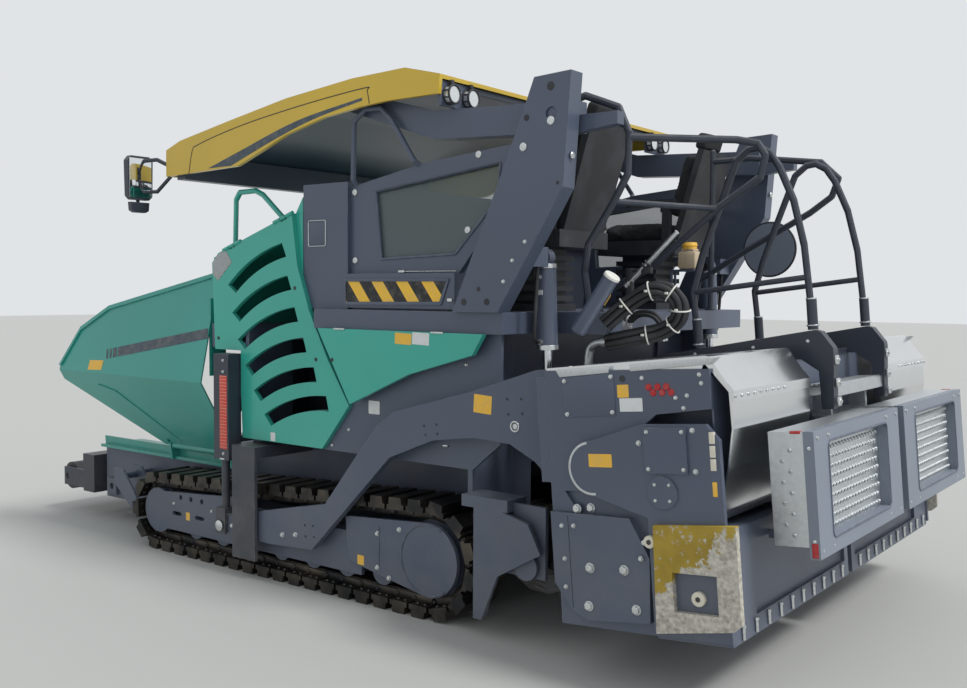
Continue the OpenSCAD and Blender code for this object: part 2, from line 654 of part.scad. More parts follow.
// frame of the lift cylinder: origin at the top pin, down along the cylinder
module lift_at() placed() translate([lift_x, lift_y, lift_z]) rotate([0, lift_ang, 0]) children();
module lift_barrel() lift_at() difference() {
    union() {
        rotate([-90, 0, 0]) translate([0, 0, -26]) cylinder(r = 45, h = 52);
        translate([0, 0, -470]) cylinder(r = lift_r, h = 440);
    }
    rotate([-90, 0, 0]) translate([0, 0, -40]) cylinder(r = 20 + run, h = 80);
    translate([0, 0, -480]) cylinder(r = 25 + run, h = 400);
}
module lift_rod() lift_at() difference() {
    union() {
        translate([0, 0, -lift_len]) cylinder(r = 25, h = lift_len - 150);
        translate([0, 0, -lift_len]) rotate([-90, 0, 0]) translate([0, 0, -24]) cylinder(r = 52, h = 48);
    }
    translate([0, 0, -lift_len]) rotate([-90, 0, 0]) translate([0, 0, -40]) cylinder(r = 32, h = 80);
}
module lift_barrel_left() color("#3d434e") lift_barrel();
module lift_barrel_right() color("#3d434e") right() lift_barrel();
module lift_rod_left() color("#c8ccd0") lift_rod();
module lift_rod_right() color("#c8ccd0") right() lift_rod();

module tow_arm() {
    raised() {
        difference() {
            xz(arm_y0 + arm_t, arm_t) polygon([[tow_x + 50, 255], [tow_x + 50, 325], [tow_x, 343], [0, 400],
                [-508, 459], [-717, 672], [-948, 903], [-1086, 981], [-1616, 1075], [-2026, 1170],
                [screed_x1, 1170], [screed_x1, 640], [-2052, 666], [-1987, 731],
                [-1844, 814], [-1616, 844], [-1343, 828], [-1034, 735], [-374, 190], [0, 200]]);
            bar_y(tow_x, tow_z, 35 + run, arm_y0 - 10, arm_y0 + arm_t + 10);
        }
        // flared end joined to the screed's side
        box(screed_x1, screed_x1 + 50, arm_y0, screed_y, 660, 1140);
    }
}
// pins for the rod eyes of the lift cylinders
module arm_pins() color("#8a8d90") placed() both() bar_y(eye_x, eye_z, 20, lift_y - 40, arm_y0);
module tow_arm_left() color("#3d434e") tow_arm();
module tow_arm_right() color("#3d434e") right() tow_arm();
// side plate of the screed, cut away over the extension's end
module screed_side() xz(screed_y, 20) polygon([[screed_x1, 1170], [-2995, 1150], [-2995, 985],
    [-2740, 965], [-2640, 890], [-2600, 640], [-2200, 620], [screed_x1, 690]]);
// outer part of the upper body that is cut away to show the inside behind the hood
module screed_end() box(screed_x0 - 1, screed_xm + 20, 1290, screed_y + 1, 650, 1141);
module screed_base() color("#3d434e") raised() {
    difference() {
        union() {
            box(screed_xm, screed_x1, -screed_y + 20, screed_y - 20, screed_z0, 700);
            box(screed_x0, screed_x1, -screed_y + 20, screed_y - 20, 620, 1140);
        }
        both() screed_end();
        bar_y(tele_x, tele_z, tele_r + run, -screed_y - 50, screed_y + 50);
    }
    both() difference() {
        union() {
            screed_side();
            // inner plate behind the side plate's rear edge
            box(screed_x0 - 45, screed_x0 - 37, 1200, screed_y - 20, 700, 1120);
            box(screed_x0 - 45, screed_x0 + 1, 1200, 1250, 700, 1120);
            // lower side shield
            xz(screed_y + 20, 41) polygon([[-2180, 530], [-2588, 517], [-2676, 350], [-2660, 70],
                [-2341, 50], [-2270, 86], [-2180, 208]]);
            xz(screed_y, 20) polygon([[screed_x1, 690], [-2200, 700], [-2319, 529], [-2180, 529]]);
        }
        bar_y(tele_x, tele_z, tele_r + run, 0, screed_y + 50);
    }
}
module screed_hoods() color("#c9cdd0") raised() both() {
    xz(screed_y - 20, screed_y - 580) polygon([[screed_x1, 1140], [-2950, 1140], [-2964, 1176],
        [-3066, 1052], [-3070, 900], [-3040, 740], [-2985, 560], [-2968, 520], [-2974, 514],
        [-2993, 556], [-3048, 738], [-3078, 900], [-3080, 1058], [-2990, 1200], [-2970, 1204],
        [screed_x1, 1180]]);
    // riveted strip where the top meets the apron
    xz(screed_y - 22, screed_y - 584) polygon([[-3065, 1088], [-3088, 1056], [-3088, 1012],
        [-3076, 1012], [-3077, 1052], [-3055, 1084]]);
}
module screed_stairs() color("#2c303b") raised() {
    for (y = [cheek_y, -cheek_y]) xz(y + cheek_t / 2, cheek_t) polygon([[-2200, 1140], [-2200, 1190],
        [-3075, 1279], [-3105, 1270], [-3160, 1190], [-3163, 1170], [-3147, 895], [-3090, 895],
        [-3085, 1080], [-3000, 1140]]);
    // treads: upper deck, toothed step and ribbed step
    box(-2960, -2250, cheek_t / 2 - cheek_y, cheek_y - cheek_t / 2, 1140, 1166);
}
// toothed step between the cheeks, and the ribbed step under it
module steps() color("#aeb2b5") raised() {
    step_y = cheek_y - cheek_t / 2;
    difference() {
        box(-3140, -2985, -step_y, step_y, 950, 1008);
        box(-3132, -2993, -step_y - 1, step_y + 1, 949, 1001);
    }
    for (i = [0:5]) box(-3130 + 22 * i, -3118 + 22 * i, 5 - step_y, step_y - 5, 1007, 1014);
    for (y = [-280, 255]) box(-3080, -2990, y, y + 25, 840, 951);
    difference() {
        xz(285, 570) polygon([[-2984, 862], [-3118, 842], [-3120, 790], [-3110, 790],
            [-3108, 830], [-2984, 850]]);
        for (y = [-270, 210]) translate([-3060, y, 700]) cube([80, 60, 100]);
    }
}
module hoop(y) {
    tube([[-2450, y, 1250], [-2437, y, 1518], [-2505, y, 1700], [-2586, y, 1873], [-2722, y, 2154],
        [-2790, y, 2200], [-2844, y, 2203], [-2900, y, 2165], [-2943, y, 2092], [-3004, y, 1917],
        [-3042, y, 1694], [-3060, y, 1310]], rail_r);
    tube([[-2438, y, 1512], [-3041, y, 1537]], rail_r - 4);
    for (f = [[-2450, 1218.2], [-3060, 1280.3]]) bar_z(f[0], y, rail_r + 6, f[1], f[1] + 150);
}
module stair_hoops() color("#2c303b") raised() for (y = [cheek_y, -cheek_y]) hoop(y);
module extension() {
    difference() {
        box(-3030, screed_xm - gap, 30, screed_y + gap, screed_z0, 480);
        // long recess in the rear wall, over the tamper's edge
        box(-3031, -3010, 80, screed_y - 240, 90, 400);
    }
    xz(screed_y + gap + 25, 25) union() {
        polygon([[tele_x, tele_z + 122], [-2678, 926], [-2980, 925], [-3035, 860], [-3040, screed_z0 + 20],
            [screed_xm - gap, screed_z0 + 20], [screed_xm - gap, 527], [tele_x, tele_z - 122]]);
        translate([tele_x, tele_z]) circle(r = 122);
    }
    // raised covers on the end plate
    box(-2892, -2692, screed_y + gap + 24, screed_y + gap + 37, 720, 913);
    bar_y(-2766, 638, 70, screed_y + gap + 24, screed_y + gap + 33);
    bar_y(tele_x, tele_z, tele_r, 40, screed_y + gap + 1);
    // ears of the walkway's hinge
    for (y = [260, 1000]) {
        box(hinge_x - 18, -3029, y, y + 20, hinge_z - 18, hinge_z + 18);
        bar_y(hinge_x, hinge_z, 12, y - 34, y + 54);
    }
}
module extension_left() color("#3d434e") raised() extension();
module extension_right() color("#3d434e") raised() right() extension();
module profile_plate() xz(screed_y + gap + 25 + 30, 30) difference() {
    polygon([[-3096, 518], [-2723, 502], [-2710, 46], [-3059, 91], [-3096, 120]]);
    translate([-3000, 146]) square([200, 165]);
}
module profile_plate_left() color("#c9b04a") raised() profile_plate();
module profile_plate_right() color("#c9b04a") raised() right() profile_plate();
// walkway half: galvanised tray in an anthracite guard frame, folded up behind the screed
module walkway() difference() {
    union() {
        difference() {
            box(walk_x0 + 45, walk_x0 + 193, 50, walk_y1, walk_z0 + 49, walk_z1);
            box(walk_x0 + 53, walk_x0 + 194, 58, walk_y1 - 8, walk_z0 + 57, walk_z1 - 8);
        }
        // knuckles on both sides of the extension's ears
        for (y = [260, 1000]) for (o = [-31, 26]) {
            bar_y(hinge_x, hinge_z, 24, y + o, y + o + 25);
            box(walk_x0 + 180, hinge_x, y + o, y + o + 25, hinge_z - 6, hinge_z + 24);
        }
    }
    bar_y(hinge_x, hinge_z, 12 + run, 0, screed_y);
}
module walkway_left() color("#b4b8bb") raised() walkway();
module walkway_right() color("#b4b8bb") raised() right() walkway();
module walkway_guard() difference() {
    box(walk_x0, walk_x0 + 45, 50, walk_y1, walk_z0, walk_z1);
    // window that shows the punched tread
    box(walk_x0 - 1, walk_x0 + 46, 250, 1050, walk_z0 + 70, walk_z1 - 60);
}
module guard_left() color("#3d434e") raised() walkway_guard();
module guard_right() color("#3d434e") raised() right() walkway_guard();
module hose_bundle() color("#1b1c1e") placed() {
    box(deck_xr - 40, deck_xr, 520, 700, 1560, 1640);
    tube([[deck_xr - 30, 610, 1600], [-2160, 610, 1640], [-2230, 600, 1620], [-2255, 590, 1530]], 30);
}

chassis();
crawler_frame_left();
crawler_frame_right();
track_left();
track_right();
engine_block();
conveyor();
hopper_floor();
hopper_wing_left();
hopper_wing_right();
push_beam();
push_roller_left();
push_roller_right();
hood();
grab_rails();
side_door_left();
side_door_right();
fenders();
platform();
bulkhead();
window_frames();
side_windows();
roof_posts();
lift_lugs();
lift_pins();
roof_frame();
roof_shell();
work_lamps();
mirrors();
handrails();
seat_left();
seat_right();
cushion_left();
cushion_right();
console();
tow_cylinders();
auger_housing();
auger_left();
auger_right();
lift_barrel_left();
lift_barrel_right();
lift_rod_left();
lift_rod_right();
tow_arm_left();
tow_arm_right();
arm_pins();
screed_base();
screed_hoods();
screed_stairs();
steps();
stair_hoops();
extension_left();
extension_right();
profile_plate_left();
profile_plate_right();
walkway_left();
walkway_right();
guard_left();
guard_right();
hose_bundle();
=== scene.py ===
# %% [markdown]
# # A tracked asphalt paver
# The machine spreads hot asphalt: a hopper at the front, a tractor on tracks, and a screed that
# floats behind on two tow arms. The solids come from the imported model, so this file only adds
# what a solid can't carry: finishes, thin trim, bolts, hoses, cushions, stripes and light.

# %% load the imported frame
import bmesh
import bpy
from math import atan2, cos, exp, pi, radians, sin
from mathutils import Matrix, Vector


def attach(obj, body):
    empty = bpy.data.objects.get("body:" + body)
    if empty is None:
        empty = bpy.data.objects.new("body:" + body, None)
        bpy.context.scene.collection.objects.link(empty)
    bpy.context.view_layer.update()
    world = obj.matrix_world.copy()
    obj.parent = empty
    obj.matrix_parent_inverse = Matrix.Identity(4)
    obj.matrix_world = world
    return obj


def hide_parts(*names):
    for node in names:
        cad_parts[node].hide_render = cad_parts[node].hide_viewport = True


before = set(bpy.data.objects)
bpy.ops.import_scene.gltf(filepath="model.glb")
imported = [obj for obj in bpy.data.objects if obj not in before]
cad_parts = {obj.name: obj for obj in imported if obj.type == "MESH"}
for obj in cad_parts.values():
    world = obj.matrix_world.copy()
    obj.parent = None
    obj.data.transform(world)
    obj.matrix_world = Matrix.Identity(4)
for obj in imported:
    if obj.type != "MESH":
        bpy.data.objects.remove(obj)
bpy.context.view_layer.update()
# the tracks' middle stands this far ahead of the middle of the whole length, in metres
AHEAD = 0.212968

# %% [markdown]
# ## Camera
# The photograph was taken at eye height from behind the left side. A camera can be matched by
# nudging it until the picture looks right, but straight edges of the machine give its place with
# less guessing. So it is written here as a place, three angles and the focal length in pixels.

# %% camera
FRAME_WIDTH, FOCAL_PIXELS = 967, 1026.3
SENSOR_MM = 36.0
CAMERA_AT = (-4.737 + AHEAD, 5.32, 1.755)
yaw, pitch, roll = radians(52.33), radians(-2.93), radians(0.36)
ahead_of_lens = Vector((cos(yaw) * cos(pitch), -sin(yaw) * cos(pitch), sin(pitch)))
level_right = ahead_of_lens.cross(Vector((0, 0, 1))).normalized()
level_up = level_right.cross(ahead_of_lens)
right = cos(roll) * level_right + sin(roll) * level_up
up = cos(roll) * level_up - sin(roll) * level_right
camera = bpy.data.objects.new("camera", bpy.data.cameras.new("camera"))
bpy.context.collection.objects.link(camera)
camera.data.sensor_width = SENSOR_MM
camera.data.lens = FOCAL_PIXELS * SENSOR_MM / FRAME_WIDTH
camera.data.clip_end = 200
camera_turn = Matrix((right, up, -ahead_of_lens)).transposed().to_4x4()
camera.matrix_world = Matrix.Translation(CAMERA_AT) @ camera_turn
bpy.context.scene.camera = camera
print("lens", round(camera.data.lens, 2), "mm")

# %% [markdown]
# ## Nodes for materials
# A finish can be drawn in the shader editor, but a script can be read and run again. One small
# function adds any node: sockets are filled by name, by number or in their own order, a socket
# given as a value makes a link, a keyword sets a property, and the output asked for comes back.
# Map Range takes a value and the old and new ends; Mix for colours takes its factor as 0 and the
# colours as 6 and 7, and gives output 2. Colours are written as on a paint card, in sRGB hex, and
# turned to the linear light that the shader works in.

# %% helpers for materials
MM = 0.001


def linear(hex_colour):
    channels = [int(hex_colour[i:i + 2], 16) / 255 for i in (1, 3, 5)]
    return [c / 12.92 if c < 0.04045 else ((c + 0.055) / 1.055) ** 2.4 for c in channels] + [1.0]


def add(tree, kind, sockets=(), out=0, **settings):
    node = tree.nodes.new("ShaderNode" + kind)
    for name, value in settings.items():
        setattr(node, name, value)
    pairs = sockets.items() if isinstance(sockets, dict) else enumerate(sockets)
    for socket, value in pairs:
        if isinstance(value, bpy.types.NodeSocket):
            tree.links.new(value, node.inputs[socket])
        else:
            node.inputs[socket].default_value = value
    return node.outputs[out] if node.outputs else node


def clouds(tree, point, size_mm, detail, roughness=0.5, ends=None):
    # noise cells about size_mm wide, spread between the two ends where they are given
    noise = add(tree, "TexNoise", {"Vector": point, "Scale": 1 / (size_mm * MM),
                                   "Detail": detail, "Roughness": roughness})
    return add(tree, "MapRange", (noise, *ends)) if ends else noise


def new_tree(owner):
    owner.use_nodes = True
    owner.node_tree.nodes.clear()
    return owner.node_tree


def start(name):
    material = bpy.data.materials.new(name)
    tree = new_tree(material)
    return material, tree, add(tree, "TexCoord", out="Object")


def close(tree, sockets):
    # the last two nodes of every finish
    add(tree, "OutputMaterial", {"Surface": add(tree, "BsdfPrincipled", sockets)})


print("helpers ready; mid grey in linear light is", round(linear("#808080")[0], 3))

# %% [markdown]
# ## Machine enamel
# Covers and frames are steel sheet with a baked two-coat enamel. It is smooth, with a faint
# orange peel that only shows in reflections, dust that settles low and on top, and a lighter line
# where hands and boots polish the edges. Wear could be painted on by hand, but a bevel node finds
# every edge by itself: it rounds the sharp edges of the solids for the light alone, and the angle
# between its answer and the true face tells where an edge is.

# %% enamel
DUST = linear("#A9A294")
# how wide the things that vary on an enamelled face are
PEEL_MM, POLISH_MM, DUST_MM, PANEL_MM = 14, 60, 350, 900


def enamel(name, colour, roughness, worn="#C9CCCE", dust=0.25, wear=0.35, coat=0.3):
    material, tree, point = start(name)
    straight = add(tree, "NewGeometry", out="Normal")
    eased = add(tree, "Bevel", {"Radius": 4 * MM}, samples=4)
    same = add(tree, "VectorMath", (eased, straight), "Value", operation="DOT_PRODUCT")
    edge = add(tree, "MapRange", (same, 0.99, 0.86))
    polish = clouds(tree, point, POLISH_MM, 5, ends=(0.46, 0.62))
    polish = add(tree, "Math", (edge, polish), operation="MULTIPLY")
    polish = add(tree, "Math", (polish, wear), operation="MULTIPLY")
    # dust lies low down and on faces that look up
    low = add(tree, "MapRange", (add(tree, "SeparateXYZ", (point,), "Z"), 1.1, 0.05))
    top = add(tree, "MapRange", (add(tree, "SeparateXYZ", (straight,), "Z"), 0.55, 1.0))
    settled = add(tree, "Math", (low, top), operation="MAXIMUM")
    drift = clouds(tree, point, DUST_MM, 7, 0.62, (0.38, 0.68))
    settled = add(tree, "Math", (settled, drift), operation="MULTIPLY")
    dusty = add(tree, "Math", (settled, dust), operation="MULTIPLY")
    # the coat varies a little in tone from one panel area to the next
    tone = clouds(tree, point, PANEL_MM, 2, ends=(0.35, 0.65, 0.94, 1.05))
    paint = add(tree, "HueSaturation", {"Value": tone, "Color": linear(colour)})
    paint = add(tree, "Mix", {0: dusty, 6: paint, 7: DUST}, 2, data_type="RGBA")
    paint = add(tree, "Mix", {0: polish, 6: paint, 7: linear(worn)}, 2, data_type="RGBA")
    rough = add(tree, "MapRange", (settled, 0, 1, roughness, min(1, roughness + 0.3)))
    bump = add(tree, "Bump", {"Strength": 0.05, "Distance": 2 * MM, "Normal": eased,
                              "Height": clouds(tree, point, PEEL_MM, 2)})
    close(tree, {"Base Color": paint, "Roughness": rough, "Normal": bump, "Coat Weight": coat,
                 "Coat Roughness": 0.12})
    return material


green_enamel = enamel("green enamel", "#38AE9C", 0.3)
hopper_enamel = enamel("hopper green enamel", "#2A9D90", 0.34, dust=0.35)
anthracite_enamel = enamel("anthracite enamel", "#515A6C", 0.42, dust=0.18, coat=0.15)
guard_enamel = enamel("silver grey enamel", "#7C8593", 0.42, dust=0.15, coat=0.15)
shade_enamel = enamel("dark anthracite enamel", "#323844", 0.45, dust=0.3, coat=0.1)
yellow_gelcoat = enamel("yellow gelcoat", "#D8B52C", 0.28, worn="#E9D88A", dust=0.12, wear=0.1,
                        coat=0.4)
print("enamels", len(bpy.data.materials))

# %% [markdown]
# The extension's end plate was ochre and has lost its paint at the rear, where bare grey primer
# and scuffed metal show. A mask could be painted by hand; a slanted border that noise makes ragged
# gives the same look and needs no picture. Smaller chips are scattered over what is left.

# %% worn end plate
# which way the paint gets worse, and between which lengths along it the border lies, in metres
WORN_WAY, BORDER = (-0.7, 0, -0.72), (1.404, 1.418)


def worn_plate():
    material, tree, point = start("worn ochre enamel")
    across = add(tree, "VectorMath", (point, WORN_WAY), "Value", operation="DOT_PRODUCT")
    ragged = clouds(tree, point, 55, 6, 0.65, (0.3, 0.7, -0.07, 0.07))
    border = add(tree, "Math", (across, ragged), operation="ADD")
    bare = add(tree, "MapRange", (border, *BORDER))
    chips = clouds(tree, point, 24, 6, 0.7, (0.58, 0.63))
    gone = add(tree, "Math", (bare, chips), operation="MAXIMUM")
    fade = clouds(tree, point, 120, 4, ends=(0.35, 0.65))
    ochre = add(tree, "Mix", {0: fade, 6: linear("#9C8325"), 7: linear("#B59A35")}, 2,
                data_type="RGBA")
    scuff = clouds(tree, point, 18, 5, ends=(0.35, 0.7))
    primer = add(tree, "Mix", {0: scuff, 6: linear("#CFCABD"), 7: linear("#9B958A")}, 2,
                 data_type="RGBA")
    colour = add(tree, "Mix", {0: gone, 6: ochre, 7: primer}, 2, data_type="RGBA")
    bump = add(tree, "Bump", {"Strength": 0.25, "Distance": 1 * MM, "Height": gone})
    close(tree, {"Base Color": colour, "Roughness": 0.6, "Normal": bump})
    return material


worn_ochre = worn_plate()
print("finish", worn_ochre.name)

# %% [markdown]
# ## Bare metals
# Track shoes are rolled steel with a dusty brown film, hoods are ground stainless sheet with a
# grain along their length, rods are hard chrome, and the walkway is hot-dip galvanised, with the
# grey spangle of zinc crystals. One recipe makes them all, because they differ only in colour, in
# gloss and in a noise that is stretched along the way of grinding. Spangle and grain are drawn
# coarser than they are, or they wouldn't show from where the camera stands.

# %% bare metals
def bare_metal(name, colour, roughness, stretch=(1, 1, 1), grain_mm=6, dust=0.0, spread=0.12,
               depth=1.0, wave_mm=0):
    material, tree, point = start(name)
    drawn = add(tree, "Mapping", {"Vector": point, "Scale": stretch})
    grain = clouds(tree, drawn, grain_mm, 6, 0.6)
    shade = add(tree, "MapRange", (grain, 0.3, 0.7, 1 - 0.18 * depth, 1 + 0.12 * depth))
    metal = add(tree, "HueSaturation", {"Value": shade, "Color": linear(colour)})
    stain = clouds(tree, point, 240, 6, 0.6, (0.4, 0.7, 0.0, dust))
    metal = add(tree, "Mix", {0: stain, 6: metal, 7: linear("#7D7466")}, 2, data_type="RGBA")
    rough = add(tree, "MapRange", (grain, 0.25, 0.75, roughness - spread / 2,
                                   roughness + spread / 2))
    if wave_mm:
        # thin sheet is never quite flat, so reflections on it bend softly
        under = add(tree, "Bump", {"Strength": 0.25, "Distance": 10 * MM,
                                   "Height": clouds(tree, point, wave_mm, 1)})
    else:
        under = add(tree, "Bevel", {"Radius": 3 * MM}, samples=4)
    bump = add(tree, "Bump", {"Strength": 0.12 * depth, "Distance": 1 * MM, "Height": grain,
                              "Normal": under})
    close(tree, {"Base Color": metal, "Roughness": rough, "Normal": bump, "Metallic": 1.0})
    return material


track_steel = bare_metal("rolled track steel", "#3B3B3C", 0.52, grain_mm=25, dust=0.6)
forged_steel = bare_metal("dark forged steel", "#4C4E52", 0.48, grain_mm=18, dust=0.3)
stainless_sheet = bare_metal("ground stainless sheet", "#E4E6E7", 0.2, stretch=(1, 0.04, 1),
                             dust=0.05, spread=0.01, depth=0.01, wave_mm=260)
hard_chrome = bare_metal("hard chrome", "#D6D9DC", 0.12, grain_mm=30, spread=0.04)
galvanised = bare_metal("hot-dip galvanised sheet", "#CDD1D3", 0.4, grain_mm=22, spread=0.2,
                        depth=0.6)
print("finishes so far", len(bpy.data.materials))

# %% [markdown]
# ## Rubber, vinyl, glass and plastic
# Hoses and bellows are black rubber with a grey bloom, and seats and lamp bodies are vinyl and
# moulded plastic with a finer grain, so all share one dull recipe. The panes are thin grey safety
# glass. Glass can be made to bend light, but a pane this thin doesn't visibly, so half of the
# light simply goes straight through. Lamp faces are clear plastic over a bright reflector.

# %% soft and clear finishes
def dull(name, colour, roughness, grain_mm, strength):
    material, tree, point = start(name)
    grain = clouds(tree, point, grain_mm, 4, 0.6)
    bloom = clouds(tree, point, 160, 5, ends=(0.45, 0.75, 0.0, 0.35))
    skin = add(tree, "Mix", {0: bloom, 6: linear(colour), 7: linear("#55565A")}, 2,
               data_type="RGBA")
    rough = add(tree, "MapRange", (grain, 0.3, 0.7, roughness - 0.08, roughness + 0.08))
    bump = add(tree, "Bump", {"Strength": strength, "Distance": 2 * MM, "Height": grain})
    close(tree, {"Base Color": skin, "Roughness": rough, "Normal": bump})
    return material


hose_rubber = dull("hose rubber", "#1D1E20", 0.6, 8, 0.1)
seat_vinyl = dull("seat vinyl", "#1E2023", 0.55, 6, 0.3)
black_plastic = dull("moulded black plastic", "#25272B", 0.5, 5, 0.15)
safety_glass, tree, point = start("grey safety glass")
close(tree, {"Base Color": linear("#6C7879"), "Alpha": 0.5,
             "Roughness": clouds(tree, point, 180, 6, ends=(0.4, 0.7, 0.01, 0.05))})
lamp_lens, tree, point = start("lamp lens and reflector")
facets = add(tree, "TexVoronoi", {"Vector": point, "Scale": 1 / (18 * MM)}, "Distance")
close(tree, {"Base Color": linear("#E4E7E8"), "Metallic": 0.6,
             "Roughness": add(tree, "MapRange", (facets, 0.0, 0.7, 0.05, 0.3))})
print("finishes so far", len(bpy.data.materials))

# %% [markdown]
# ## Finish of every solid
# A solid keeps its shape and gets the finish of the real part. Each could be set one by one; a
# table reads like the paint plan of the machine and shows at once when a solid has been forgotten.

# %% paint the solids
paint_plan = {
    green_enamel: "hood side_door_left side_door_right fenders grab_rails",
    hopper_enamel: "hopper_floor hopper_wing_left hopper_wing_right",
    anthracite_enamel: "chassis crawler_frame_left crawler_frame_right platform bulkhead"
                       " lift_lugs window_frames roof_posts roof_frame tow_arm_left"
                       " tow_arm_right screed_base extension_left extension_right"
                       " auger_housing lift_barrel_left lift_barrel_right",
    guard_enamel: "guard_left guard_right",
    shade_enamel: "push_beam engine_block tow_cylinders console screed_stairs stair_hoops"
                  " handrails mirrors",
    yellow_gelcoat: "roof_shell",
    worn_ochre: "profile_plate_left profile_plate_right",
    track_steel: "track_left track_right conveyor",
    forged_steel: "push_roller_left push_roller_right auger_left auger_right lift_pins arm_pins",
    stainless_sheet: "screed_hoods",
    galvanised: "steps walkway_left walkway_right",
    hard_chrome: "lift_rod_left lift_rod_right",
    hose_rubber: "hose_bundle",
    black_plastic: "seat_left seat_right",
    seat_vinyl: "cushion_left cushion_right",
    safety_glass: "side_windows",
    lamp_lens: "work_lamps",
}
for material, names in paint_plan.items():
    for name in names.split():
        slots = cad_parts[name].data.materials
        slots.clear()
        slots.append(material)
unpainted = set(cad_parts) - set(" ".join(paint_plan.values()).split())
print("solids without a finish:", sorted(unpainted))

# %% [markdown]
# ## Printed films, plated bolts and small trim
# Stickers are vinyl film with a satin face and grubby edges, and they are blank. A stripe could be
# cut as its own strip, but it lies within the thickness of the film, so the material draws it: a
# slanted measure through the piece, folded every period. The hazard stripes lean back 0.78 mm for
# each millimetre of height, and the scale on the tow cylinder has a pale tick every 20 mm.
# Bolts are zinc plated and a little brighter than steel.

# %% films and trim
def film(name, colour, roughness=0.42, second=None, period_mm=100.0, share=0.5, lean=(1, 0, 0),
         start_mm=0.0):
    material, tree, point = start(name)
    face = linear(colour)
    if second:
        run = add(tree, "VectorMath", (point, lean), "Value", operation="DOT_PRODUCT")
        run = add(tree, "Math", (run, start_mm * MM), operation="SUBTRACT")
        fold = add(tree, "Math", (run, period_mm * MM), operation="FLOORED_MODULO")
        inside = add(tree, "Math", (fold, period_mm * MM * share), operation="LESS_THAN")
        face = add(tree, "Mix", {0: inside, 6: face, 7: linear(second)}, 2, data_type="RGBA")
    grime = clouds(tree, point, 45, 6, 0.6, (0.45, 0.75, 0.0, 0.25))
    face = add(tree, "Mix", {0: grime, 6: face, 7: DUST}, 2, data_type="RGBA")
    rough = clouds(tree, point, 30, 4, ends=(0.3, 0.7, roughness - 0.1, roughness + 0.12))
    close(tree, {"Base Color": face, "Roughness": rough})
    return material


hazard_film = film("hazard stripe film", "#FAC63C", second="#17181A", period_mm=182, share=0.53,
                   lean=(1, 0, -0.78), start_mm=37.3)
scale_film = film("red scale film", "#D8432F", second="#F0A090", period_mm=20, share=0.16,
                  lean=(0, 0, 1))
yellow_film = film("blank yellow film", "#F5C043")
white_film = film("blank white film", "#E4E6E6")
slate_film = film("slate stripe film", "#3B4A55", 0.35)
red_reflector = film("red reflector", "#B8242A", 0.2)
tie_plastic = film("natural cable tie plastic", "#E8E6DE", 0.35)
nylon = film("cast nylon", "#E3DDCB", 0.5)
# the dark bands between the strands are painted shade: the shaded inlet seen through the mesh
door_mesh = film("expanded metal over painted shade", "#C4C8C9", 0.5, second="#4B4F52", period_mm=14,
                 share=0.34, lean=(1, 0, 1.6))
reservoir_plastic = film("milky reservoir plastic", "#C9B79A", 0.3)
zinc_bolt = bare_metal("zinc-plated bolt steel", "#D5D8D8", 0.3, grain_mm=12, dust=0.1)
brushed_aluminium = bare_metal("brushed aluminium", "#C9CCCE", 0.34, stretch=(1, 1, 0.1),
                               grain_mm=3)
mirror_glass = bare_metal("mirror glass", "#E6E9EA", 0.05, grain_mm=200, spread=0.02)
print("finishes in all", len(bpy.data.materials))

# %% [markdown]
# ## Shapes in millimetres
# Every added part is drawn in the machine's own millimetres, measured from the middle of the
# tracks' ground contact, and put into place once at the end. Final metres would do as well, but
# then no number could be held against a drawing. What rides on the screed is drawn lowered, where
# its faces are square to the axes, and is turned up 5 degrees about the tow pins as the solids
# are. A left part's mesh is mirrored for the right side.

# %% places and the maker of pieces
PLACED = Matrix.Translation((AHEAD, 0, 0))
TOW_PIN = Vector((0.42, 0, 0.29))
RAISED = (PLACED @ Matrix.Translation(TOW_PIN) @ Matrix.Rotation(radians(5), 4, "Y")
          @ Matrix.Translation(-TOW_PIN))
FLOATING = ("screed", "extension", "walkway")
ACROSS = Matrix.Scale(-1, 4, (0, 1, 0))
SIDES = ("left", "right")
SHARP_FROM = radians(32)
made = {"pieces": 0, "faces": 0, "open edges": 0}


def make(name, shape, material, body="tractor", mirrored=False):
    mesh = bmesh.new()
    shape(mesh)
    if mirrored:
        mesh.transform(ACROSS)
    placing = RAISED if body.startswith(FLOATING) else PLACED
    mesh.transform(placing @ Matrix.Scale(MM, 4))
    bmesh.ops.recalc_face_normals(mesh, faces=mesh.faces)
    made["pieces"] += 1
    made["faces"] += len(mesh.faces)
    made["open edges"] += sum(not edge.is_manifold for edge in mesh.edges)
    data = bpy.data.meshes.new(name)
    mesh.to_mesh(data)
    mesh.free()
    data.shade_smooth()
    data.set_sharp_from_angle(angle=SHARP_FROM)
    data.materials.append(material)
    piece = bpy.data.objects.new(name, data)
    bpy.context.collection.objects.link(piece)
    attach(piece, body)
    print(name, "rides on", body, "with", len(data.polygons), "faces")
    return piece


def make_pair(name, shape, material, body="tractor"):
    # a star in the body's name stands for the side
    for side in SIDES:
        make(f"{name}_{side}", shape, material, body.replace("*", side), side == "right")


# %% [markdown]
# A plate is an outline in length and height, drawn across the machine, with its edges eased. A
# slab is the same for an outline that lies in any plane. A block could be a scaled cube, but as a
# plate it gets the same eased edges as all the rest.

# %% plates and slabs
def slab(mesh, corners, across, soft=0.0):
    near = [mesh.verts.new(corner) for corner in corners]
    drawn = bmesh.ops.extrude_face_region(mesh, geom=[mesh.faces.new(near)],
                                          use_keep_orig=True)["geom"]
    far = [item for item in drawn if isinstance(item, bmesh.types.BMVert)]
    bmesh.ops.translate(mesh, vec=across, verts=far)
    if soft:
        edges = {edge for vert in near + far for edge in vert.link_edges}
        bmesh.ops.bevel(mesh, geom=list(edges), offset=soft, affect="EDGES", segments=2,
                        profile=0.5, material=-1)


def at_width(y, points):
    return [(x, y, z) for x, z in points]


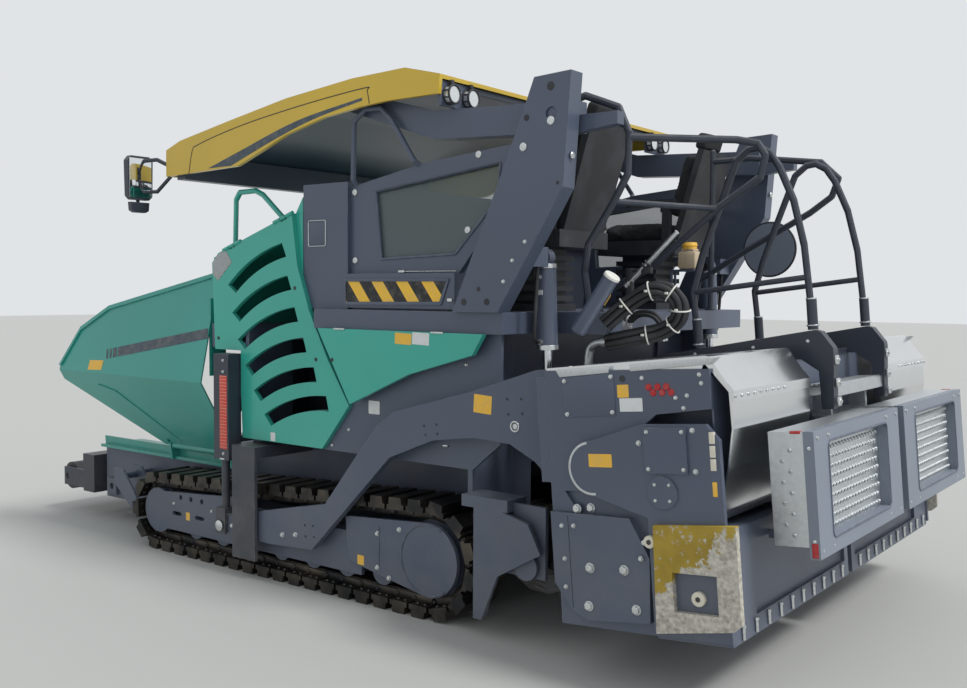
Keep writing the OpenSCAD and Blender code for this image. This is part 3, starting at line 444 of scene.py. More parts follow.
def plate(mesh, outline, y0, y1, soft=0.0):
    slab(mesh, at_width(y0, outline), (0, y1 - y0, 0), soft)


def block(mesh, x0, x1, y0, y1, z0, z1, soft=2.0):
    plate(mesh, [(x0, z0), (x1, z0), (x1, z1), (x0, z1)], y0, y1, soft)


def rounded(x, z, width, height, tilt=0.0, corner=5.0):
    # outline of a plate with round corners about its middle, tilted in degrees
    lean = radians(tilt)
    points = []
    for sx, sz, start in ((1, 1, 0), (-1, 1, 90), (-1, -1, 180), (1, -1, 270)):
        for step in range(4):
            angle = radians(start + 30 * step)
            u = sx * (width / 2 - corner) + corner * cos(angle)
            v = sz * (height / 2 - corner) + corner * sin(angle)
            points.append((x + u * cos(lean) - v * sin(lean), z + u * sin(lean) + v * cos(lean)))
    return points


def arc(x, z, radius, start, end, steps=24):
    angles = [radians(start + (end - start) * i / steps) for i in range(steps + 1)]
    return [(x + radius * cos(angle), z + radius * sin(angle)) for angle in angles]


print("a rounded plate has", len(rounded(0, 0, 50, 50)), "corners")

# %% [markdown]
# Bolts are a washer and a six-sided head with a chamfer, and buttons are low turned discs. They
# could be one mesh shared by many objects, but a joined mesh for each group keeps the list of
# pieces short. Both are drawn standing up and then faced the way they look.

# %% bolts and buttons
LEFT, BACK, UP = (0, 1, 0), (-1, 0, 0), (0, 0, 1)


def facing(at, out):
    return Matrix.Translation(at) @ Vector(out).to_track_quat("Z", "Y").to_matrix().to_4x4()


def cone(mesh, spot, sides, wide, wide_end, low, high):
    bmesh.ops.create_cone(mesh, cap_ends=True, segments=sides, radius1=wide, radius2=wide_end,
                          depth=high - low,
                          matrix=spot @ Matrix.Translation((0, 0, (low + high) / 2)))


def bolt(mesh, at, out=LEFT, width=24.0):
    # washer, head and chamfer in shares of the width over the corners
    spot = facing(at, out)
    for sides, wide, wide_end, low, high in ((18, 0.62, 0.6, 0, 0.1), (6, 0.5, 0.5, 0.1, 0.42),
                                             (6, 0.5, 0.38, 0.42, 0.5)):
        cone(mesh, spot, sides, width * wide, width * wide_end, width * low, width * high)


def bolts(mesh, y, width, *spots):
    for x, z in spots:
        bolt(mesh, (x, y, z), width=width)


def button(mesh, at, out=LEFT, radius=18.0, tall=6.0):
    # body, rounded rim and the socket for the key, in shares of radius and height
    spot = facing(at, out)
    for sides, wide, wide_end, low, high in ((24, 1, 1, 0, 0.6), (24, 1, 0.8, 0.6, 1),
                                             (6, 0.38, 0.34, 1, 1.15)):
        cone(mesh, spot, sides, radius * wide, radius * wide_end, tall * low, tall * high)


def studs(mesh, y, sides, wide, wide_end, tall, *spots):
    for x, z in spots:
        cone(mesh, facing((x, y, z), LEFT), sides, wide, wide_end, 0, tall)


print("fittings look", LEFT, BACK, "or", UP)

# %% [markdown]
# Hoses, rails and rims are round all along. A tube is a row of circles, bridged, that turns with
# its path and doesn't twist; a curve with a bevel would be quicker, but its ends couldn't be
# capped and checked as a mesh. A hoop is one small circle spun about a middle.

# %% paths, tubes and hoops
def curved(points, steps=6):
    # a smooth path through the points: the Catmull-Rom formula
    points = [Vector(p) for p in points]
    ends = [2 * points[0] - points[1], *points, 2 * points[-1] - points[-2]]
    path = []
    for a, b, c, d in zip(ends, ends[1:], ends[2:], ends[3:]):
        for i in range(steps):
            t = i / steps
            path.append(0.5 * (2 * b + (c - a) * t + (2 * a - 5 * b + 4 * c - d) * t * t
                               + (3 * b - a - 3 * c + d) * t ** 3))
    return path + [points[-1]]


def circle(mesh, spot, radius, sides, capped=False):
    ring = bmesh.ops.create_circle(mesh, cap_ends=capped, segments=sides, radius=radius,
                                   matrix=spot)["verts"]
    return ring, list({edge for vert in ring for edge in vert.link_edges})


def tube(mesh, path, radius, sides=12):
    path = [Vector(p) for p in path]
    last = len(path) - 1
    before = turn = None
    for i, at in enumerate(path):
        ahead = (path[min(i + 1, last)] - path[max(i - 1, 0)]).normalized()
        if turn is None:
            turn = ahead.to_track_quat("Z", "Y")
        else:
            turn = (turn @ Vector(UP)).rotation_difference(ahead) @ turn
        spot = Matrix.Translation(at) @ turn.to_matrix().to_4x4()
        edges = circle(mesh, spot, radius, sides, i in (0, last))[1]
        if before:
            bmesh.ops.bridge_loops(mesh, edges=before + edges)
        before = edges


def hoop(mesh, at, out, radius, wire, around=28, sides=8):
    # a closed ring: one small circle spun about the middle
    spot = facing(at, out)
    bent = Matrix.Translation((radius, 0, 0)) @ Matrix.Rotation(pi / 2, 4, "X")
    ring, edges = circle(mesh, spot @ bent, wire, sides)
    bmesh.ops.spin(mesh, geom=ring + edges, cent=Vector(at), axis=spot.to_3x3() @ Vector(UP),
                   angle=2 * pi, steps=around, use_merge=True)


print("a path through 3 points has", len(curved([(0, 0, 0), (1, 0, 0), (1, 0, 1)])), "places")

# %% [markdown]
# ## Blank stickers
# A sticker is thin film with round corners, in its own place, size and tilt. It could be a patch
# in the paint's material, but as a thin plate it rides with its part and its edge catches light.
# One table holds them all, and one loop makes them.

# %% stickers
FILM_THICK = 1.5
STICKERS = (  # name, film, body, then for each: y of the face, x, z, width, height, tilt, corner
    ("door_label", white_film, "side_door_*", (1204.5, 47, 868, 42, 52, 0, 3)),
    ("fender_stickers", yellow_film, "tractor", (1249.5, -1052, 1500, 118, 60, 2, 5)),
    ("white_labels", white_film, "tractor", (1249.5, -1176, 1504, 118, 64, 2, 5),
     (1174.5, -768, 1104, 84, 74, 0, 5)),
    ("crawler_stickers", yellow_film, "tractor", (1231.5, -720, 246, 50, 54, 0, 3),
     (1204.5, 892, 262, 40, 52, 0, 3), (1204.5, -300, 360, 100, 62, 0, 3)),
    ("screed_yellow_film", yellow_film, "screed", (1439.5, -2586, 1068, 56, 56, 0, 3)),
    ("screed_white_film", white_film, "screed", (1439.5, -2622, 1008, 112, 58, 0, 3)),
    ("arm_sticker", yellow_film, "screed", (1287.5, -1692, 1012, 112, 92, 8, 5)),
    ("extension_sticker", yellow_film, "extension_*", (1470.5, -2468, 768, 118, 58, 0, 3)),
)


def stickers(mesh, rows):
    for y, *outline in rows:
        plate(mesh, rounded(*outline), y, y + FILM_THICK)


for name, material, body, *rows in STICKERS:
    make_pair(name, lambda mesh: stickers(mesh, rows), material, body)

# %% [markdown]
# ## Roof, window and posts
# The yellow flank carries a slate swoosh and the joint line of its moulded panel. Each lamp has a
# black housing with two rims, eight ribs and a bracket, and each mirror a face of glass.

# %% roof trim
def swoosh(mesh):
    lower = curved([(371, 0, 2515), (-17, 0, 2637), (-361, 0, 2727), (-747, 0, 2791)])
    upper = curved([(-747, 0, 2807), (-217, 0, 2730), (298, 0, 2595), (596, 0, 2514)])
    plate(mesh, [(p.x, p.z) for p in lower + upper], 1249, 1251)


def panel_joint(mesh):
    line = [(791, 2493), (752, 2640), (700, 2668), (500, 2712), (154, 2768), (-345, 2824),
            (-768, 2857), (-786, 2840), (-802, 2768)]
    tube(mesh, curved(at_width(1249.5, line), 4), 3.2, 6)


def lamp_bodies(mesh):
    rib_ring, lamp_z = 47, 2775
    for y in (1000, 1160):
        hoop(mesh, (-1326, y, lamp_z), BACK, 47, 6)
        hoop(mesh, (-1288, y, lamp_z), BACK, 48, 5)
        block(mesh, -1316, -1296, y - 12, y + 12, 2822, 2850)
        for k in range(8):
            angle = radians(45 * k + 22)
            across, above = y + rib_ring * cos(angle), lamp_z + rib_ring * sin(angle)
            tube(mesh, [(-1292, across, above), (-1322, across, above)], 4, 6)


make_pair("roof_stripe", swoosh, slate_film, "roof")
make_pair("roof_panel_joint", panel_joint, black_plastic, "roof")
make_pair("lamp_housing", lamp_bodies, black_plastic, "roof")
make_pair("mirror_face", lambda mesh: block(mesh, 1232, 1235, 1222, 1388, 2360, 2618),
          mirror_glass, "roof")

# %% [markdown]
# The pane sits in a rim that is painted like its frame, and round buttons hold it. Below it runs
# the thin rod of the latch. The posts show bolts and the dark plugs of holes not in use. The rim
# is a tube along each edge, because the pane's corners are sharp and a bent tube would pinch.

# %% window and post trim
PANE = [(-760, 2300), (-1620, 2400), (-1600, 2220), (-1330, 1950), (-800, 1930)]


def window_seal(mesh):
    path = at_width(1151, PANE + PANE[:2])
    for a, b in zip(path, path[1:]):
        tube(mesh, [a, b], 7, 8)


def window_buttons(mesh):
    for x, z, y in ((-595, 2309, 1150), (-598, 1926, 1150), (-1400, 2073, 1136),
                    (-1480, 2455, 1150), (-1655, 2300, 1150)):
        button(mesh, (x, y, z), radius=19, tall=8)


def latch(mesh):
    block(mesh, -980, -935, 1150, 1164, 1852, 1868, 3)
    block(mesh, -1350, -1318, 1196, 1206, 1700, 1718, 3)
    tube(mesh, [(-960, 1156, 1861), (-1340, 1156, 1861)], 3, 6)


def post_bolts(mesh):
    for x, z in ((-1990, 2565), (-1831, 2453)):
        button(mesh, (x, 1250, z), radius=21, tall=8)
    bolts(mesh, 1250, 17, (-1844, 1997), (-1769, 1907), (-1716, 1804))
    button(mesh, (-2078, 1200, 2400), BACK, 18, 8)


def post_plugs(mesh):
    for x, z, radius in ((-1986, 2727, 22), (-1848, 2591, 16), (-1560, 1767, 12),
                         (-1466, 1701, 18), (-1613, 1703, 18), (-2030, 2270, 9)):
        studs(mesh, 1249, 24, radius, radius * 0.94, 2.5, (x, z))


make_pair("window_seal", window_seal, anthracite_enamel)
make_pair("window_buttons", window_buttons, zinc_bolt)
make_pair("window_latch", latch, zinc_bolt)
make_pair("post_bolts", post_bolts, zinc_bolt)
make_pair("post_plugs", post_plugs, black_plastic)

# %% [markdown]
# The lid under the window carries hazard stripes inside a raised frame, and the bulkhead has a
# plain square plate with a thin rim. A frame could be cut out of one plate, but four bars with
# mitred ends share their corners with the striped field and need no cut.

# %% striped lid and blank plate
LID_FIELD = [(-572, 1806), (-1310, 1806), (-1262, 1700), (-572, 1692)]
LID_EDGE = [(-560, 1822), (-1330, 1822), (-1276, 1682), (-560, 1674)]


def lid_frame(mesh):
    for i in range(4):
        k = (i + 1) % 4
        plate(mesh, [LID_EDGE[i], LID_EDGE[k], LID_FIELD[k], LID_FIELD[i]], 1195, 1204, 1.5)


def plate_frame(mesh):
    path = at_width(1176.5, rounded(-311, 2086, 142, 148, corner=8))
    tube(mesh, path + path[:2], 3.5, 6)


make_pair("hazard_stripes", lambda mesh: plate(mesh, LID_FIELD, 1196, 1198.5), hazard_film)
make_pair("lid_frame", lid_frame, anthracite_enamel)
make_pair("plain_plate", lambda mesh: plate(mesh, rounded(-311, 2086, 128, 134), 1174, 1177, 0.6),
          anthracite_enamel)
make_pair("plain_plate_frame", plate_frame, brushed_aluminium)

# %% [markdown]
# ## Hopper and hood
# The folded wing wears the slate stripe that starts in three short bars. Its face leans in by 150
# in 720 mm above the widest line, so each corner's place across follows from its height. A flat
# strip could be turned into place instead, but then its angle would have to be kept in step.

# %% hopper stripe
def on_wing(x, z):
    # films lie 0.6 mm off the face
    return (x, 1250 - (z - 1160) * 150 / 720 + 0.6, z)


def wing_film(mesh, corners):
    slab(mesh, [on_wing(x, z) for x, z in corners], (0, 1, 0.2))


def wing_stripe(mesh):
    tall, slant = 66, 12
    for x0, x1 in ((1795, 1776), (1758, 1734), (1718, 1676), (1664, 700)):
        z0, z1 = (1330 + (1795 - x) * 185 / 1141 for x in (x0, x1))
        wing_film(mesh, [(x0, z0), (x1, z1), (x1 - slant, z1 - tall), (x0 - slant, z0 - tall)])


make_pair("hopper_stripe", wing_stripe, slate_film, "wing_*")
make_pair("hopper_sticker", lambda mesh: wing_film(mesh, [(1980, 1246), (1812, 1252), (1822, 1184),
                                                          (1990, 1178)]), yellow_film, "wing_*")

# %% [markdown]
# The side door shows an expanded-metal corner over its air inlet, and three plugs. The fender
# below the deck is bolted on and has two hinge leaves along its upper edge. The tow cylinder's
# post carries the red height scale, its bolts and a collar round the rod.

# %% door, fender and tow cylinder trim
# the mesh's finish paints the shaded inlet behind it as dark bands
def inlet(mesh):
    plate(mesh, [(612, 1926), (560, 1980), (484, 2004), (424, 1928), (560, 1812), (606, 1848)],
          1205, 1207.5, 0.8)


def fender_fittings(mesh):
    for x in (-570, -1290):
        block(mesh, x - 42, x + 42, 1243, 1256, 1535, 1540, 1)
        tube(mesh, [(x - 42, 1251, 1540), (x + 42, 1251, 1540)], 5, 8)
    bolts(mesh, 1175, 16, (-1425, 1376), (-570, 962), (-434, 861))


def cylinder_trim(mesh):
    bolts(mesh, 1296, 16, (402, 740), (402, 1250), (402, 1320))
    button(mesh, (420, 1318, 290), radius=34, tall=10)
    hoop(mesh, (420, 1265, 706), (0, 0, -1), 34, 6)


make_pair("door_mesh", inlet, door_mesh, "side_door_*")
make_pair("door_plugs", lambda mesh: studs(mesh, 1204, 20, 12, 11, 3, (-151, 1768), (-331, 1354),
                                           (560, 1450)), black_plastic, "side_door_*")
make_pair("fender_fittings", fender_fittings, zinc_bolt)
make_pair("fender_plug", lambda mesh: studs(mesh, 1249, 20, 12, 11, 3, (-511, 1363)),
          black_plastic)
make_pair("height_scale", lambda mesh: block(mesh, 368, 436, 1295, 1298, 770, 1226, 0.5),
          scale_film)
make_pair("cylinder_trim", cylinder_trim, zinc_bolt)

# %% [markdown]
# ## Tracks
# A track chain is a row of links joined by pins, and each link is bolted to its shoe. The solids
# carry shoes and a plain chain, so this adds the link plates, their pin heads and two bolts on
# each side of a shoe. All of them follow the path of the solids' track: bottom run, idler, top
# run, sprocket. An array along a curve could lay them out, but a formula for the place at any
# length needs no tuning.

# %% track path
AXLE_DISTANCE, SHOE_HEIGHT, SHOES, TRACK_Y = 2430.0, 60.0, 45, 1087.0
IDLER_R, SPROCKET_R, CHAIN_GAP = 200.0, 260.0, 4.0
idler_z, sprocket_z = SHOE_HEIGHT + IDLER_R + CHAIN_GAP, SHOE_HEIGHT + SPROCKET_R + CHAIN_GAP
slope = 2 * atan2(sprocket_z - idler_z, AXLE_DISTANCE)
idler_arc, sprocket_arc = IDLER_R * (pi - slope), SPROCKET_R * (pi + slope)
SHOE_PITCH = (2 * AXLE_DISTANCE + idler_arc + sprocket_arc) / SHOES


def on_track(s):
    # place and direction at length s along the inner side of the shoes
    half = AXLE_DISTANCE / 2
    s %= SHOE_PITCH * SHOES
    if s < AXLE_DISTANCE:
        return s - half, SHOE_HEIGHT, 0.0
    s -= AXLE_DISTANCE
    if s < idler_arc:
        a = s / IDLER_R
        return half + IDLER_R * sin(a), idler_z - IDLER_R * cos(a), a
    s -= idler_arc
    if s < AXLE_DISTANCE:
        x, z = half + IDLER_R * sin(slope), idler_z + IDLER_R * cos(slope)
        return x - s * cos(slope), z + s * sin(slope), pi - slope
    a = pi - slope + (s - AXLE_DISTANCE) / SPROCKET_R
    return -half + SPROCKET_R * sin(a), sprocket_z - SPROCKET_R * cos(a), a


def inward(s, depth):
    x, z, a = on_track(s)
    return Vector((x - depth * sin(a), 0, z + depth * cos(a)))


print("shoe pitch", round(SHOE_PITCH, 2), "mm")

# %% [markdown]
# A link plate is drawn as a bar with two round ends, from one pin to the next. Every second link
# sits 6 mm further in, as the links of a chain overlap.

# %% links, pins and shoe bolts
PIN_DEPTH, LINK_R, LINK_THICK, BOLT_APART = 27, 21, 6, 26


def links(mesh):
    for i in range(SHOES):
        a, b = inward(i * SHOE_PITCH, PIN_DEPTH), inward((i + 1) * SHOE_PITCH, PIN_DEPTH)
        along = (b - a).normalized()
        inner = Vector((-along.z, 0, along.x))
        outline = []
        for end, way in ((b, 1), (a, -1)):
            for k in range(5):
                turn = radians(-90 + 45 * k)
                spot = end + LINK_R * way * (along * cos(turn) + inner * sin(turn))
                outline.append((spot.x, spot.z))
        out = 76 if i % 2 else 82
        for y in (TRACK_Y + out, TRACK_Y - out - LINK_THICK):
            plate(mesh, outline, y, y + LINK_THICK, 1.5)


def pins(mesh):
    for i in range(SHOES):
        pin = inward(i * SHOE_PITCH, PIN_DEPTH)
        for way in (1, -1):
            cone(mesh, facing((pin.x, TRACK_Y + way * 87, pin.z), (0, way, 0)), 12, 12, 10, 0, 6)
        middle = inward((i + 0.5) * SHOE_PITCH, 7)
        a = on_track((i + 0.5) * SHOE_PITCH)[2]
        for y in (TRACK_Y + 112, TRACK_Y - 112):
            for shift in (-BOLT_APART, BOLT_APART):
                at = (middle.x + shift * cos(a), y, middle.z + shift * sin(a))
                cone(mesh, facing(at, (-sin(a), 0, cos(a))), 6, 11, 9, 0, 9)


make_pair("track_links", links, track_steel)
make_pair("track_pins", pins, forged_steel)

# %% [markdown]
# The drive cover is a pressed bowl with a rolled rim and four bolts, and the long guard over the
# rollers is held by three more. The rim follows an arc, so it is a tube along points of that arc.

# %% crawler trim
def cover_bolts(mesh):
    bolts(mesh, 1232, 24, (-849, 415), (-1012, 461), (-849, 225), (-937, 181))
    bolts(mesh, 1205, 18, (560, 330), (640, 330), (1040, 330))


def cover_rim(mesh):
    tube(mesh, at_width(1233, arc(-1215, 324, 190, -128, 118, 40)), 5, 8)
    tube(mesh, [(-862, 1233, 232), (-862, 1233, 455)], 3, 6)


make_pair("cover_bolts", cover_bolts, zinc_bolt)
make_pair("cover_rim", cover_rim, anthracite_enamel)

# %% [markdown]
# ## Screed
# The screed's side is thick plate with service covers, so it is read by its bolts. Bright round
# washers mark the main screws, and a folded aluminium strip runs over the plate's upper edge with
# a gap for the lifting hole. Bolts could be scattered by a pattern, but real ones sit where the
# plates need them, so each has its own place in a list.

# %% screed side
def side_bolts(mesh):
    bolts(mesh, 1443, 17, (-2287, 1120), (-2530, 1132), (-2293, 970), (-2528, 977))
    bolts(mesh, 1440, 16, (-2682, 1122), (-2950, 1128), (-2957, 1092), (-2836, 1034),
          (-2889, 1042), (-2870, 990))
    bolts(mesh, 1460, 18, (-2236, 467), (-2242, 318), (-2239, 191), (-2300, 470))
    bolts(mesh, 1460, 38, (-2375, 288), (-2549, 292), (-2357, 116), (-2598, 124))
    bolts(mesh, 1440, 36, (-2314, 545))
    bolts(mesh, 1420, 36, (-2374, 548))


# the black disc in the lifting hole is painted shade, and the thin strip below is a dark line on
# the plate
def shade_disc_and_line(mesh):
    studs(mesh, 1439, 28, 15, 14, 3, (-2586, 1122))
    block(mesh, -2273, -2270, 1459.5, 1461, 100, 515, 0.3)


def edge_strip(mesh):
    plate(mesh, [(-2243, 1172), (-2263, 1138), (-2521, 1150), (-2524, 1180)], 1400, 1443, 1.5)
    plate(mesh, [(-2627, 1182), (-2628, 1152), (-3000, 1168), (-3033, 1196)], 1400, 1443, 1.5)


def reflectors(mesh):
    studs(mesh, 1439.5, 8, 17, 14, 5, (-2712, 1082), (-2754, 1082), (-2796, 1082),
          (-2733, 1058), (-2775, 1058), (-2817, 1058))


make_pair("screed_covers", lambda mesh: plate(mesh, [(-2272, 1134), (-2544, 1146), (-2544, 962),
                                                     (-2278, 956)], 1439.5, 1443, 1),
          anthracite_enamel, "screed")
make_pair("screed_bolts", side_bolts, zinc_bolt, "screed")
make_pair("screed_hole_shade_and_line", shade_disc_and_line, black_plastic, "screed")
make_pair("edge_strip", edge_strip, brushed_aluminium, "screed")
make_pair("screed_reflectors", reflectors, red_reflector, "screed")

# %% [markdown]
# The tow arms are boxes of welded plate. Small dark screws close their tapped holes in groups of
# four, and bigger bolts hold the pins and the lifting eye. The stainless hoods are held by low
# screws along the strip where the top meets the apron, and along the outer edge: evenly spaced,
# so a loop sets them.

# %% tow arm trim and hood screws
def arm_screws(mesh):
    studs(mesh, 1287, 12, 7, 6, 3, (-1845, 1035), (-1930, 1034), (-1847, 960), (-1932, 962),
          (-1295, 905), (-1381, 912), (-1301, 858), (-1383, 863), (-330, 330), (-400, 330),
          (-330, 265), (-400, 265))


def arm_bolts(mesh):
    bolts(mesh, 1288, 26, (-132, 262), (-245, 269), (330, 290))
    hoop(mesh, (-1883, 1289, 900), LEFT, 24, 5)
    button(mesh, (-1883, 1287, 900), radius=14, tall=5)
    button(mesh, (-1420, 1268, 800), (0, 0.3, -1), 20, 8)


def hood_screws(mesh):
    for i in range(9):
        button(mesh, (-3088, 880 + 66 * i, 1034), BACK, 8, 5)
    for i in range(4):
        button(mesh, (-2300 - 200 * i, 1402, 1181), UP, 8, 5)


make_pair("arm_screws", arm_screws, black_plastic, "screed")
make_pair("arm_bolts", arm_bolts, zinc_bolt, "screed")
make_pair("hood_screws", hood_screws, zinc_bolt, "screed")

# %% [markdown]
# The extension slides out of the screed on a big round tube. Its end plate has a worn half ring
# round that tube's cap, bolts in fours on the square and round covers, and pale wear blocks of
# cast nylon along its rear edge, which take the rubbing when the plate moves.

# %% extension trim
def half_ring(mesh):
    outline = arc(-2420, 732, 119, -98, 82) + arc(-2420, 732, 108, 82, -98)
    plate(mesh, outline, 1470.5, 1473, 0.5)


def extension_bolts(mesh):
    bolts(mesh, 1483, 15, (-2710, 895), (-2874, 895), (-2710, 738), (-2874, 738))
    bolts(mesh, 1479, 13, *arc(-2766, 638, 48, 45, 315, 3))
    bolts(mesh, 1471, 20, (-2664, 846), (-2918, 900), (-2922, 730), (-2660, 420), (-2640, 350))
    # a row of upright screws over the sole plate's rear edge
    for i in range(10):
        tube(mesh, [(-3036, 140 + 135 * i, 22), (-3036, 140 + 135 * i, 74)], 8, 8)
        bolt(mesh, (-3036, 140 + 135 * i, 74), UP, 20)


def wear_blocks(mesh):
    for z in (846, 790, 736):
        block(mesh, -3016, -2992, 1462, 1476, z, z + 48, 2)
    for x, z, radius in ((-2693, 428, 27), (-2905, 206, 31)):
        spot = facing((x, 1470, z), LEFT)
        cone(mesh, spot, 28, radius, radius, 0, 16)
        cone(mesh, spot, 28, radius, radius * 0.86, 16, 20)


make_pair("extension_ring", half_ring, brushed_aluminium, "extension_*")
make_pair("extension_bolts", extension_bolts, zinc_bolt, "extension_*")
make_pair("nylon_pads", wear_blocks, nylon, "extension_*")
make_pair("yellow_pad", lambda mesh: block(mesh, -3014, -2994, 1464, 1474, 630, 690, 2),
          yellow_film, "extension_*")
make_pair("pad_bores", lambda mesh: studs(mesh, 1489, 6, 12, 11, 4, (-2693, 428), (-2905, 206)),
          forged_steel, "extension_*")

# %% [markdown]
# ## Walkways and stairs
# The walkway's tray is punched so that boots grip: each hole is pressed up into a small crown. The
# crowns show through the guard's window, in rows that are offset by half a step. A picture of
# crowns would be lighter, but it would show no rim against the light.

# %% punched tread
TREAD = [(-3285, 276 + 40 * column + 20 * (row % 2), 438 + 42 * row)
         for row in range(9) for column in range(20) if 40 * column + 20 * (row % 2) < 764]
CROWN = ((1, 0), (0.72, 0.55), (0.5, 0.5))  # radius and height of its rims, in shares


def crown(mesh, at, out, radius):
    spot = facing(at, out)
    rims = [circle(mesh, spot @ Matrix.Translation((0, 0, radius * tall)), radius * wide, 10)[1]
            for wide, tall in CROWN]
    for a, b in zip(rims, rims[1:]):
        bmesh.ops.bridge_loops(mesh, edges=a + b)


def punched(mesh):
    for at in TREAD:
        crown(mesh, at, BACK, 12)
    for row in range(9):
        crown(mesh, (-3225 + 34 * (row % 2), 1220, 440 + 44 * row), LEFT, 11)


# a thin black disc in each hole is painted shade: the dark seen through the hole
def hole_shade_discs(mesh):
    for at in TREAD:
        cone(mesh, facing(at, BACK), 8, 6, 6, 0, 0.8)


print("crowns on a tread:", len(TREAD))
make_pair("punched_tread", punched, galvanised, "walkway_*")
make_pair("hole_shade_discs", hole_shade_discs, black_plastic, "walkway_*")

# %% [markdown]
# The guard before the tread is folded sheet with a window in it. A rolled lip runs round the
# window, bolts hold it above and below, and red caps close its outer corners. The lip could be a
# bevel of the window's edge, but the sheet is too thin for that, so a tube follows the edge.

# %% walkway guard
def guard_bolts(mesh):
    for y in (90, 250, 1050, 1180):
        # the lower row is sunk, so that nothing stands behind the guard itself
        for x, z in ((-3324, 375), (-3330, 840)):
            bolt(mesh, (x, y, z), BACK, 15)
    bolts(mesh, 1220, 14, (-3308, 420), (-3308, 800))


def red_caps(mesh):
    block(mesh, -3322, -3296, 1219, 1222, 352, 412, 0.5)
    block(mesh, -3276, -3230, 1200, 1221, 860, 872, 1)


def folded_lip(mesh):
    path = [(-3329, y, z) for y, z in rounded(650, 611, 812, 406, corner=28)]
    tube(mesh, path + path[:2], 6, 6)


make_pair("guard_bolts", guard_bolts, zinc_bolt, "walkway_*")
make_pair("red_caps", red_caps, red_reflector, "walkway_*")
make_pair("window_lip", folded_lip, anthracite_enamel, "walkway_*")

# %% [markdown]
# The stairs in the middle stand between two cheeks, with square plates and bolts on them and
# bands where the rails meet their posts. A round sheet guards the right entry: a painted face on
# both sides and a black plastic edge, which is a spun hoop, so that it closes without a seam.

# %% stair trim and round guard
def cheek_trim(mesh):
    for y, way in ((400, 1), (-400, -1)):
        for z in (1130, 1020, 930):
            block(mesh, -3171, -3160, y - 22, y + 22, z - 22, z + 22, 3)
            bolt(mesh, (-3171, y, z), BACK, 18)
        for x in (-2440, -2760, -3040):
            bolt(mesh, (x, y + 30 * way, 1190 + (-2440 - x) * 0.06), (0, way, 0), 15)


def rail_bands(mesh):
    for y in (400, -400):
        for x, z in ((-2450, 1369), (-3060, 1431)):
            hoop(mesh, (x, y, z), UP, 22, 5, 20, 6)
            hoop(mesh, (x, y, z - 130), UP, 26, 5, 20, 6)


def round_guard(mesh):
    for y, way in ((-900, 1), (-910, -1)):
        cone(mesh, facing((-2200, y, 2030), (0, way, 0)), 48, 164, 164, 0, 1.5)


make("cheek_trim", cheek_trim, zinc_bolt, "screed")
make("rail_bands", rail_bands, galvanised, "screed")
make("round_guard_faces", round_guard, guard_enamel)
make("round_guard_rim", lambda mesh: hoop(mesh, (-2200, -905, 2030), LEFT, 168, 7, 48, 8),
     black_plastic)

# %% [markdown]
# ## Hoses and pipes at the rear
# Hydraulic hoses run from the tractor's rear in a thick bundle that rises, loops over and comes
# back to a steel elbow. Seven hoses lie round one another and are held by pale cable ties. One
# thick tube with grooves would be simpler, but the light between real strands gives them away.

# %% hose bundle
LOOP = [(-2064, 862, 1592), (-2176, 800, 1704), (-2270, 770, 1762), (-2352, 740, 1760),
        (-2404, 715, 1700), (-2390, 705, 1622), (-2306, 715, 1562), (-2188, 760, 1532),
        (-2040, 800, 1499)]
loop = curved(LOOP, 5)


def strand(offset, turn):
    # one hose: the middle line, moved out by offset in a frame that follows the path
    out = []
    for i, spot in enumerate(loop):
        ahead = (loop[min(i + 1, len(loop) - 1)] - loop[max(i - 1, 0)]).normalized()
        side = ahead.cross(Vector((0.25, 1, 0.1))).normalized()
        out.append(spot + offset * (side * cos(turn) + ahead.cross(side) * sin(turn)))
    return out


def bundle(mesh):
    tube(mesh, strand(0, 0), 15, 10)
    for k in range(6):
        tube(mesh, strand(31, radians(60 * k)), 15, 10)


def ties(mesh):
    for i in (4, 10, 16, 22, 27, 33):
        x, y, z = loop[i]
        hoop(mesh, loop[i], loop[i + 1] - loop[i - 1], 48, 4, 24, 6)
        block(mesh, x - 8, x + 8, y + 42, y + 54, z - 6, z + 6, 2)


def elbow(mesh):
    tube(mesh, curved([(-2046, 800, 1499), (-1990, 800, 1496), (-1948, 800, 1474),
                       (-1932, 800, 1425), (-1930, 800, 1330)]), 24, 16)
    for at, out in (((-2044, 800, 1499), (1, 0, 0)), ((-1930, 800, 1345), UP)):
        cone(mesh, facing(at, out), 20, 30, 30, 0, 26)


def down_pipe(mesh):
    tube(mesh, curved([(-1930, 800, 1346), (-1930, 800, 1280), (-1900, 800, 1240),
                       (-1830, 800, 1232), (-1672, 800, 1232)], 5), 22, 14)
    tube(mesh, curved([(-1890, 850, 1300), (-1886, 850, 1240), (-1850, 850, 1200),
                       (-1672, 850, 1196)], 5), 14, 10)


make("hose_loop", bundle, hose_rubber)
make("hose_ties", ties, tie_plastic)
make("hose_elbow", elbow, galvanised)
make("down_pipe", down_pipe, hose_rubber)

# %% [markdown]
# A capped canister leans beside the hoses, and a guide pipe with a clamp rises behind it. The
# canister is turned from rings along its own axis, so the lean is written once and label and cap
# follow it.

# %% canister and guide pipe
FOOT, HEAD = Vector((-2000, 1010, 1560)), Vector((-2196, 1010, 1838))
TALL = (HEAD - FOOT).length
axis = (HEAD - FOOT).normalized()
# the label looks back, to the right and a little down
outward = axis.cross(axis.cross(Vector((0.82, 0.57, 0)))).normalized()
beside = axis.cross(outward)
PIPE_WAY = Vector((-0.72, 0, 0.69))


def turned(mesh, *rings):
    for wide, wide_end, low, high in rings:
        cone(mesh, facing(FOOT, axis), 32, wide, wide_end, low, high)


def canister_label(mesh):
    at = FOOT + axis * (TALL - 120) + outward * 37.5
    slab(mesh, [at + axis * a + beside * b for a, b in ((-30, -22), (-30, 22), (30, 22),
                                                        (30, -22))], outward * 2.5)


